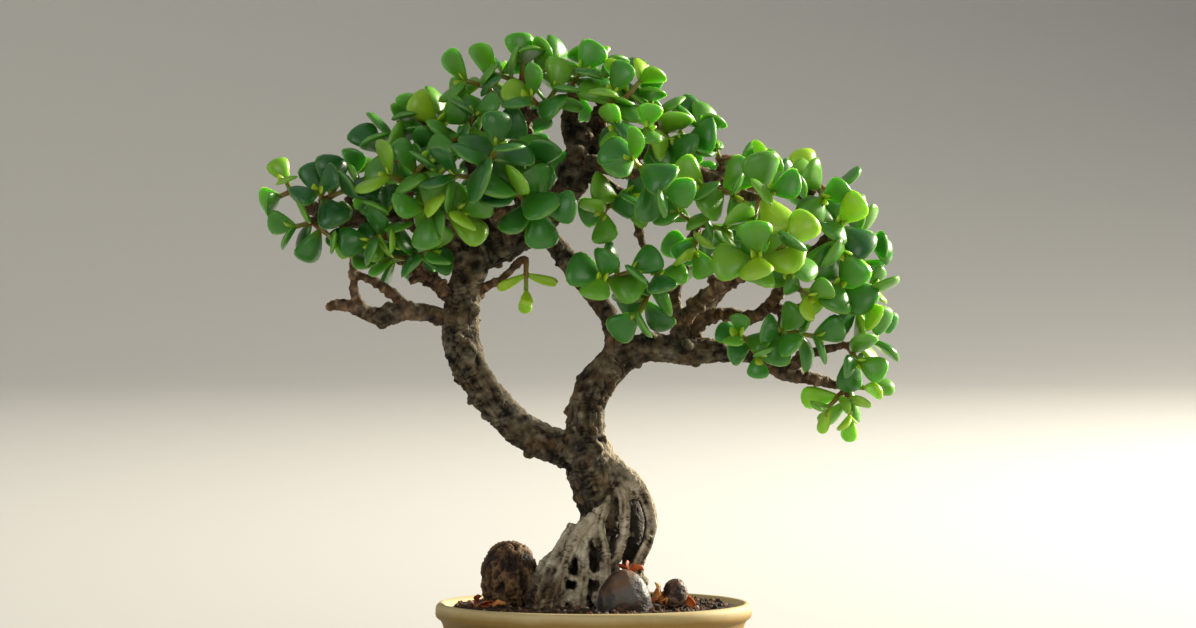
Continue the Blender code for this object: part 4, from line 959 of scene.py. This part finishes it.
def make_stones(rough_rock, smooth_rock, pebble_rock):
    """The rough fibrous stone at the left, the smooth one in front at the right and the small pebble."""
    rough = stone_skin((-23, 0, 46), (7.7, 8.2, 9.7), 110, 170,
                       [(7, 1.2, 81, False), (3.6, 1.1, 88, True), (1.9, 0.8, 82, True), (0.8, 0.4, 83, True)],
                       (1.15, 1, 0.8))
    smooth = stone_skin((13.8, -17, 38), (8.8, 6.3, 12), 70, 110, [(7, 0.7, 84, False), (1.8, 0.16, 85, False)])
    pebble = stone_skin((30, -9, 41.5), (3.8, 3.4, 4.8), 40, 60, [(2.5, 0.5, 86, False), (0.9, 0.25, 87, True)])
    place("rough_stone_skin", rough, rough_rock, "rough_rock", "rough_stone")
    place("smooth_stone_skin", smooth, smooth_rock, "smooth_rock", "smooth_stone")
    place("pebble_skin", pebble, pebble_rock, "pebble_rock", "pebble")


# Finishes. Patterns are read in metres from Object coordinates or from a number kept at each point.


def add(tree, kind, inputs=None, **settings):
    """A node with its settings and its inputs, each a value or another node's socket."""
    node = tree.nodes.new(kind)
    for key, value in settings.items():
        setattr(node, key, value)
    for key, value in (inputs or {}).items():
        if isinstance(value, bpy.types.NodeSocket):
            tree.links.new(value, node.inputs[key])
        else:
            node.inputs[key].default_value = value
    return node


def mixed(tree, factor, first, second):
    """Two colours mixed by a factor."""
    node = add(tree, "ShaderNodeMix", {"Factor": factor}, data_type="RGBA")
    for index, colour in ((6, first), (7, second)):
        if isinstance(colour, bpy.types.NodeSocket):
            tree.links.new(colour, node.inputs[index])
        else:
            node.inputs[index].default_value = (*colour, 1)
    return node.outputs[2]


def ramp(tree, factor, *stops):
    """A colour ramp through (place, colour) stops."""
    node = add(tree, "ShaderNodeValToRGB", {"Fac": factor})
    elements = node.color_ramp.elements
    while len(elements) < len(stops):
        elements.new(1.0)
    for element, (at, colour) in zip(elements, stops):
        element.position = at
        element.color = (*colour, 1)
    return node.outputs["Color"]


def spread(tree, value, low, high, to_low=0.0, to_high=1.0):
    """A value's range low to high carried to another range, and held at its ends."""
    node = add(tree, "ShaderNodeMapRange", {"Value": value, "From Min": low, "From Max": high,
                                            "To Min": to_low, "To Max": to_high})
    return node.outputs["Result"]


def sums(tree, operation, first, second):
    """One step of arithmetic on two numbers."""
    return add(tree, "ShaderNodeMath", {0: first, 1: second}, operation=operation).outputs[0]


def new_group(name, inputs, outputs):
    """An empty shader node group with named sockets, and its inside ends."""
    group = bpy.data.node_groups.new(name, "ShaderNodeTree")
    for way, sockets in (("INPUT", inputs), ("OUTPUT", outputs)):
        for socket, (kind, value) in sockets.items():
            made = group.interface.new_socket(socket, in_out=way, socket_type=kind)
            if value is not None and way == "INPUT":
                made.default_value = value
    return group, group.nodes.new("NodeGroupInput"), group.nodes.new("NodeGroupOutput")


COLOUR, NUMBER = "NodeSocketColor", "NodeSocketFloat"


def patches_group():
    """Two colours in cloudy patches; Cover is how much of the surface takes the second."""
    group, start, end = new_group(
        "cloudy_patches",
        {"First": (COLOUR, (1, 1, 1, 1)), "Second": (COLOUR, (0, 0, 0, 1)), "Scale": (NUMBER, 200.0),
         "Cover": (NUMBER, 0.4), "Softness": (NUMBER, 0.1)},
        {"Colour": (COLOUR, None), "Mask": (NUMBER, None)})
    place_at = add(group, "ShaderNodeTexCoord").outputs["Object"]
    cloud = add(group, "ShaderNodeTexNoise", {"Vector": place_at, "Scale": start.outputs["Scale"], "Detail": 4.0,
                                              "Roughness": 0.6})
    level = sums(group, "SUBTRACT", 1.0, start.outputs["Cover"])
    low = sums(group, "SUBTRACT", level, start.outputs["Softness"])
    high = sums(group, "ADD", level, start.outputs["Softness"])
    mask = spread(group, cloud.outputs["Fac"], low, high)
    colour = mixed(group, mask, start.outputs["First"], start.outputs["Second"])
    group.links.new(colour, end.inputs["Colour"])
    group.links.new(mask, end.inputs["Mask"])
    return group


def grain_group():
    """Fine relief: noise with sharp-edged cells laid over it."""
    group, start, end = new_group(
        "fine_grain", {"Scale": (NUMBER, 1500.0), "Cells": (NUMBER, 0.5)}, {"Height": (NUMBER, None)})
    place_at = add(group, "ShaderNodeTexCoord").outputs["Object"]
    grain = add(group, "ShaderNodeTexNoise", {"Vector": place_at, "Scale": start.outputs["Scale"], "Detail": 5.0,
                                              "Roughness": 0.65})
    cells = add(group, "ShaderNodeTexVoronoi", {"Vector": place_at, "Scale": start.outputs["Scale"]},
                feature="F1")
    part = sums(group, "MULTIPLY", cells.outputs["Distance"], start.outputs["Cells"])
    group.links.new(sums(group, "SUBTRACT", grain.outputs["Fac"], part), end.inputs["Height"])
    return group


def hollows_group():
    """Dirt in the hollows: where the kept relief is low the colour turns to that of the dirt."""
    group, start, end = new_group(
        "dirt_in_hollows",
        {"Colour": (COLOUR, (1, 1, 1, 1)), "Dirt": (COLOUR, (0.02, 0.015, 0.01, 1)), "Relief": (NUMBER, 0.5),
         "Depth": (NUMBER, 0.5)},
        {"Colour": (COLOUR, None), "Mask": (NUMBER, None)})
    mask = spread(group, start.outputs["Relief"], 0.0, start.outputs["Depth"], 1.0, 0.0)
    colour = mixed(group, mask, start.outputs["Colour"], start.outputs["Dirt"])
    group.links.new(colour, end.inputs["Colour"])
    group.links.new(mask, end.inputs["Mask"])
    return group


PATCHES, GRAIN, HOLLOWS = patches_group(), grain_group(), hollows_group()


def grouped(tree, group, inputs):
    """A group placed in a material with its own values."""
    node = tree.nodes.new("ShaderNodeGroup")
    node.node_tree = group
    for key, value in inputs.items():
        if isinstance(value, bpy.types.NodeSocket):
            tree.links.new(value, node.inputs[key])
        elif isinstance(value, tuple):
            node.inputs[key].default_value = (*value, 1)
        else:
            node.inputs[key].default_value = value
    return node.outputs


def patched(tree, first, second, scale, cover, softness):
    """The cloudy patches placed in a material, from one colour to a second."""
    return grouped(tree, PATCHES, {"First": first, "Second": second, "Scale": scale, "Cover": cover,
                                   "Softness": softness})


def new_finish(name, **fixed):
    """A material, its node tree and its shader, with the shader's plain values set."""
    material = bpy.data.materials.new(name)
    material.use_nodes = True
    tree = material.node_tree
    shader = tree.nodes["Principled BSDF"]
    for key, value in fixed.items():
        shader.inputs[key.replace("_", " ")].default_value = value
    return material, tree, shader


def kept(tree, name):
    """The number kept at each point under a name."""
    return add(tree, "ShaderNodeAttribute", attribute_name=name).outputs["Fac"]


def bumped(tree, shader, height, depth, strength=0.6):
    """A bump of that depth in millimetres, into the shader's normal."""
    node = add(tree, "ShaderNodeBump", {"Height": height, "Strength": strength, "Distance": depth * MM})
    tree.links.new(node.outputs["Normal"], shader.inputs["Normal"])


def finished(made, colour, mask, roughness, grain, depth, strength):
    """A finish with its colour linked, its roughness spread over a mask's range, and its bump of fine grain.

    The roughness is its value at mask 0 and at mask 1, and the grain is its scale and its share of cells.
    """
    material, tree, shader = made
    tree.links.new(colour, shader.inputs["Base Color"])
    tree.links.new(spread(tree, mask, 0, 1, *roughness), shader.inputs["Roughness"])
    height = grouped(tree, GRAIN, {"Scale": grain[0], "Cells": grain[1]})["Height"]
    bumped(tree, shader, height, depth, strength)
    return material


def bark_finish():
    """Bark: dark grey-brown with darker cracks, silver grey on bared roots, red-brown on young wood."""
    made = new_finish("jade_bark", Specular_IOR_Level=0.25)
    tree = made[1]
    relief, rooted, youth, shelter, earthy, bleached = (
        kept(tree, key) for key in ("relief", "rooted", "youth", "shelter", "earthy", "bleached"))
    plates = ramp(tree, relief, (0.05, (0.006, 0.005, 0.003)), (0.36, (0.03, 0.024, 0.014)),
                  (0.6, (0.085, 0.068, 0.04)), (0.95, (0.25, 0.205, 0.125)))
    roots = ramp(tree, relief, (0.05, (0.03, 0.021, 0.012)), (0.32, (0.15, 0.12, 0.078)),
                 (0.56, (0.36, 0.305, 0.21)), (0.95, (0.66, 0.6, 0.46)))
    earth = ramp(tree, relief, (0.1, (0.008, 0.004, 0.002)), (0.45, (0.055, 0.032, 0.015)),
                 (0.7, (0.14, 0.09, 0.045)), (1.0, (0.34, 0.27, 0.16)))
    roots = mixed(tree, earthy, roots, earth)
    young = ramp(tree, relief, (0.0, (0.008, 0.004, 0.003)), (0.4, (0.05, 0.022, 0.011)),
                 (0.7, (0.12, 0.058, 0.026)), (1.0, (0.3, 0.17, 0.08)))
    colour = mixed(tree, rooted, mixed(tree, sums(tree, "MULTIPLY", youth, 0.85), plates, young), roots)
    warm = patched(tree, colour, (0.15, 0.08, 0.027), 150.0, 0.44, 0.12)
    colour = mixed(tree, spread(tree, rooted, 0, 1, 0.45, 0.14), colour, warm["Colour"])
    ash = patched(tree, colour, (0.21, 0.2, 0.17), 420.0, 0.4, 0.1)
    colour = mixed(tree, 0.35, colour, ash["Colour"])
    dirty = grouped(tree, HOLLOWS, {"Colour": colour, "Dirt": (0.008, 0.005, 0.003), "Relief": relief,
                                    "Depth": 0.4})
    # Painted highlight: pale on the wood's sides that face the key lamp.
    colour = mixed(tree, spread(tree, bleached, 0, 1, 0.0, 0.6), dirty["Colour"], (0.44, 0.37, 0.25))
    # Painted shade: near black where the wood is shut in by other wood or lies behind the arch.
    colour = mixed(tree, spread(tree, shelter, 0.42, 0.95, 0.0, 0.94), colour, (0.016, 0.012, 0.01))
    return finished(made, colour, relief, (0.95, 0.68), (1000.0, 0.8), 0.7, 0.9)


def leaf_finish():
    """Jade leaves: deep to yellow green by leaf, paler rims and bases, fine dots, light in their flesh."""
    material, tree, shader = new_finish("jade_leaf", Subsurface_Scale=0.005, Subsurface_Weight=0.55,
                                        Coat_Weight=0.15, Coat_Roughness=0.2, Specular_IOR_Level=0.45)
    shader.inputs["Subsurface Radius"].default_value = (0.5, 1.0, 0.06)
    tint, rim, along, stem = (kept(tree, key) for key in ("tint", "rim", "along", "stem"))
    body = ramp(tree, tint, (0.0, (0.008, 0.09, 0.012)), (0.4, (0.03, 0.18, 0.01)),
                (0.7, (0.12, 0.33, 0.01)), (1.0, (0.36, 0.54, 0.012)))
    bloom = patched(tree, body, (0.06, 0.24, 0.05), 150.0, 0.42, 0.2)
    body = mixed(tree, 0.35, body, bloom["Colour"])
    dots = add(tree, "ShaderNodeTexVoronoi",
               {"Vector": add(tree, "ShaderNodeTexCoord").outputs["Object"], "Scale": 1500.0}).outputs["Distance"]
    dot = spread(tree, dots, 0.12, 0.3, 0.22, 0.0)
    body = mixed(tree, dot, body, (0.14, 0.3, 0.08))
    body = mixed(tree, spread(tree, along, 0.0, 0.35, 0.6, 0.0), body, (0.26, 0.36, 0.03))
    # Paler rims: partly the leaf's own yellowish edge, partly painted rim light.
    edge = spread(tree, rim, 0.9, 1.0, 0.0, 0.3)
    body = mixed(tree, edge, body, (0.3, 0.42, 0.08))
    wood = ramp(tree, stem, (0.0, (0.16, 0.26, 0.03)), (0.45, (0.22, 0.15, 0.03)), (0.75, (0.22, 0.08, 0.025)),
                (1.0, (0.09, 0.038, 0.02)))
    colour = mixed(tree, spread(tree, stem, 0.0, 0.1), body, wood)
    tree.links.new(colour, shader.inputs["Base Color"])
    tree.links.new(spread(tree, bloom["Mask"], 0, 1, 0.3, 0.46), shader.inputs["Roughness"])
    bumped(tree, shader, sums(tree, "SUBTRACT", 1.0, dots), 0.05, 0.3)
    return material


def stoneware_finish():
    """Tan stoneware: a pale cream lip, partly painted light, over warmer orange tan, dark specks and fine grit."""
    made = new_finish("tan_stoneware", Specular_IOR_Level=0.35)
    tree = made[1]
    place_at = add(tree, "ShaderNodeTexCoord").outputs["Object"]
    height = add(tree, "ShaderNodeSeparateXYZ", {0: place_at}).outputs["Z"]
    wander = add(tree, "ShaderNodeTexNoise", {"Vector": place_at, "Scale": 70.0, "Detail": 3.0}).outputs["Fac"]
    level = sums(tree, "ADD", height, spread(tree, wander, 0, 1, -0.0012, 0.0012))
    # Lighter with height: the pale lip is partly the pot's own cream and partly painted light where its rounded top
    # catches the lamp; the tan is darker towards the foot.
    body = ramp(tree, spread(tree, level, 0.004, 0.0385), (0.0, (0.17, 0.09, 0.02)), (0.72, (0.215, 0.12, 0.02)),
                (0.88, (0.26, 0.16, 0.036)), (0.95, (0.52, 0.42, 0.21)))
    clouds = patched(tree, body, (0.3, 0.19, 0.05), 55.0, 0.45, 0.2)
    colour = mixed(tree, 0.35, body, clouds["Colour"])
    specks = patched(tree, colour, (0.16, 0.08, 0.035), 1500.0, 0.24, 0.02)
    colour = mixed(tree, 0.6, colour, specks["Colour"])
    return finished(made, colour, clouds["Mask"], (0.6, 0.75), (1600.0, 0.2), 0.12, 0.5)


def soil_finish():
    """Dark moist soil with brown clods."""
    made = new_finish("potting_soil", Specular_IOR_Level=0.2)
    clods = patched(made[1], (0.03, 0.02, 0.014), (0.11, 0.07, 0.042), 420.0, 0.45, 0.1)
    return finished(made, clods["Colour"], clods["Mask"], (0.85, 0.98), (700.0, 1.0), 1.2, 1.0)


def dry_leaf_finish():
    """Dry leaves: dark red-brown through orange to straw, with veins of darker brown."""
    made = new_finish("dry_leaf", Specular_IOR_Level=0.3, Subsurface_Weight=0.2, Subsurface_Scale=0.001)
    tree = made[1]
    colour = ramp(tree, kept(tree, "tint"), (0.0, (0.14, 0.02, 0.008)), (0.35, (0.4, 0.07, 0.012)),
                  (0.65, (0.55, 0.2, 0.035)), (1.0, (0.6, 0.4, 0.16)))
    veins = patched(tree, colour, (0.08, 0.02, 0.01), 700.0, 0.4, 0.08)
    return finished(made, mixed(tree, 0.6, colour, veins["Colour"]), veins["Mask"], (0.5, 0.85), (1800.0, 0.4),
                    0.15, 0.6)


def crumb_finish():
    """Loose grains, from near black through red-brown and orange to pale grit."""
    made = new_finish("soil_grit", Specular_IOR_Level=0.25)
    tree = made[1]
    colour = ramp(tree, kept(tree, "tint"), (0.0, (0.02, 0.014, 0.01)), (0.5, (0.07, 0.04, 0.025)),
                  (0.78, (0.16, 0.07, 0.03)), (0.9, (0.34, 0.14, 0.04)), (1.0, (0.42, 0.36, 0.28)))
    veined = patched(tree, colour, (0.03, 0.02, 0.015), 900.0, 0.4, 0.1)
    return finished(made, mixed(tree, 0.5, colour, veined["Colour"]), veined["Mask"], (0.75, 0.95), (2500.0, 0.5),
                    0.2, 0.6)


def rock_finish(name, low, middle, high, patch, cover, scale, depth, rough):
    """Rock: a ramp from its hollows to its ridges, patches of a second colour and dirt where it is low."""
    made = new_finish(name, Specular_IOR_Level=0.35)
    tree = made[1]
    relief = kept(tree, "relief")
    body = ramp(tree, relief, (0.25, low), (0.5, middle), (0.75, high))
    blotched = patched(tree, body, patch, scale, cover, 0.08)
    dirty = grouped(tree, HOLLOWS, {"Colour": blotched["Colour"], "Dirt": (0.015, 0.009, 0.007), "Relief": relief,
                                    "Depth": 0.35})
    return finished(made, dirty["Colour"], blotched["Mask"], (rough, min(1.0, rough + 0.2)), (1300.0, 0.6), depth,
                    0.7)


# The studio.


def make_studio():
    """A pale round floor that curves up into a wall all round, soft lamps and a pale sky above."""
    turn = np.linspace(0, 0.5 * math.pi, 16)[1:]
    profile = [(FLOOR_RADIUS, 0.0)]
    profile += [(FLOOR_RADIUS + WALL_CURVE * math.sin(t), WALL_CURVE - WALL_CURVE * math.cos(t)) for t in turn]
    profile.append((FLOOR_RADIUS + WALL_CURVE, 2 * WALL_CURVE))
    points = np.vstack([turned(profile, FLOOR_COLUMNS).reshape(-1, 3), (0, 0, 0)])
    at = np.arange(FLOOR_COLUMNS)
    middle = np.full(FLOOR_COLUMNS, len(points) - 1)
    faces = ring_faces(len(profile), FLOOR_COLUMNS)[:, ::-1].tolist()
    faces += np.stack([at, (at + 1) % FLOOR_COLUMNS, middle], axis=-1).tolist()
    mesh = bpy.data.meshes.new("studio_floor")
    mesh.from_pydata(points.tolist(), [], faces)
    mesh.polygons.foreach_set("use_smooth", np.full(len(mesh.polygons), True))
    floor = bpy.data.objects.new("studio_floor", mesh)
    bpy.context.scene.collection.objects.link(floor)
    material, _, shader = new_finish("pale_floor", Roughness=0.9)
    shader.inputs["Base Color"].default_value = (0.44, 0.44, 0.43, 1)
    mesh.materials.append(material)
    for name, place_at, size, power, colour in (
            ("key_lamp", (1.75, 1.1, 0.95), 0.5, 175.0, (1.0, 0.92, 0.76)),
            ("fill_lamp", (-1.3, -1.4, 0.9), 1.2, 7.0, (0.95, 0.97, 1.0)),
            ("front_lamp", (0.7, -1.7, 1.0), 1.0, 6.0, (1.0, 0.98, 0.94))):
        data = bpy.data.lights.new(name, "AREA")
        data.shape = "DISK"
        data.size = size
        data.energy = power
        data.color = colour
        lamp = bpy.data.objects.new(name, data)
        lamp.location = place_at
        lamp.rotation_euler = (Vector((0.005, 0, 0.13)) - lamp.location).to_track_quat("-Z", "Y").to_euler()
        bpy.context.scene.collection.objects.link(lamp)
    world = bpy.data.worlds.new("studio_air")
    world.use_nodes = True
    world.node_tree.nodes["Background"].inputs["Color"].default_value = (0.95, 0.97, 1.0, 1)
    world.node_tree.nodes["Background"].inputs["Strength"].default_value = 0.36
    bpy.context.scene.world = world


def make_camera():
    """The photograph's view: nearly level, far off with a long lens, its frame 382.7 mm wide at the trunk."""
    target = Vector(CAMERA_TARGET) * MM
    rise = math.radians(CAMERA_RISE)
    data = bpy.data.cameras.new("photo_camera")
    data.lens = data.sensor_width * CAMERA_AWAY / FRAME_WIDTH
    camera = bpy.data.objects.new("photo_camera", data)
    camera.location = target + CAMERA_AWAY * Vector((0, -math.cos(rise), math.sin(rise)))
    camera.rotation_euler = (target - camera.location).to_track_quat("-Z", "Y").to_euler()
    bpy.context.scene.collection.objects.link(camera)
    bpy.context.scene.camera = camera


def main():
    """Every piece with its finish, then the studio and the camera."""
    twigs, shoots, leaves = grow()
    make_wood(twigs, bark_finish())
    make_sprays(shoots, leaves, leaf_finish())
    make_pot(stoneware_finish())
    make_soil(soil_finish(), crumb_finish())
    make_dry_leaves(dry_leaf_finish())
    make_stones(
        rock_finish("rough_rock", (0.006, 0.003, 0.002), (0.055, 0.026, 0.01), (0.17, 0.1, 0.045),
                    (0.11, 0.045, 0.014), 0.36, 260.0, 0.7, 0.75),
        rock_finish("smooth_rock", (0.012, 0.01, 0.009), (0.034, 0.03, 0.028), (0.1, 0.092, 0.082),
                    (0.15, 0.066, 0.022), 0.45, 130.0, 0.2, 0.45),
        rock_finish("pebble_rock", (0.012, 0.006, 0.005), (0.05, 0.026, 0.018), (0.2, 0.13, 0.085),
                    (0.1, 0.045, 0.025), 0.4, 300.0, 0.25, 0.5))
    make_studio()
    make_camera()
    bpy.context.scene.view_settings.view_transform = "Standard"


main()
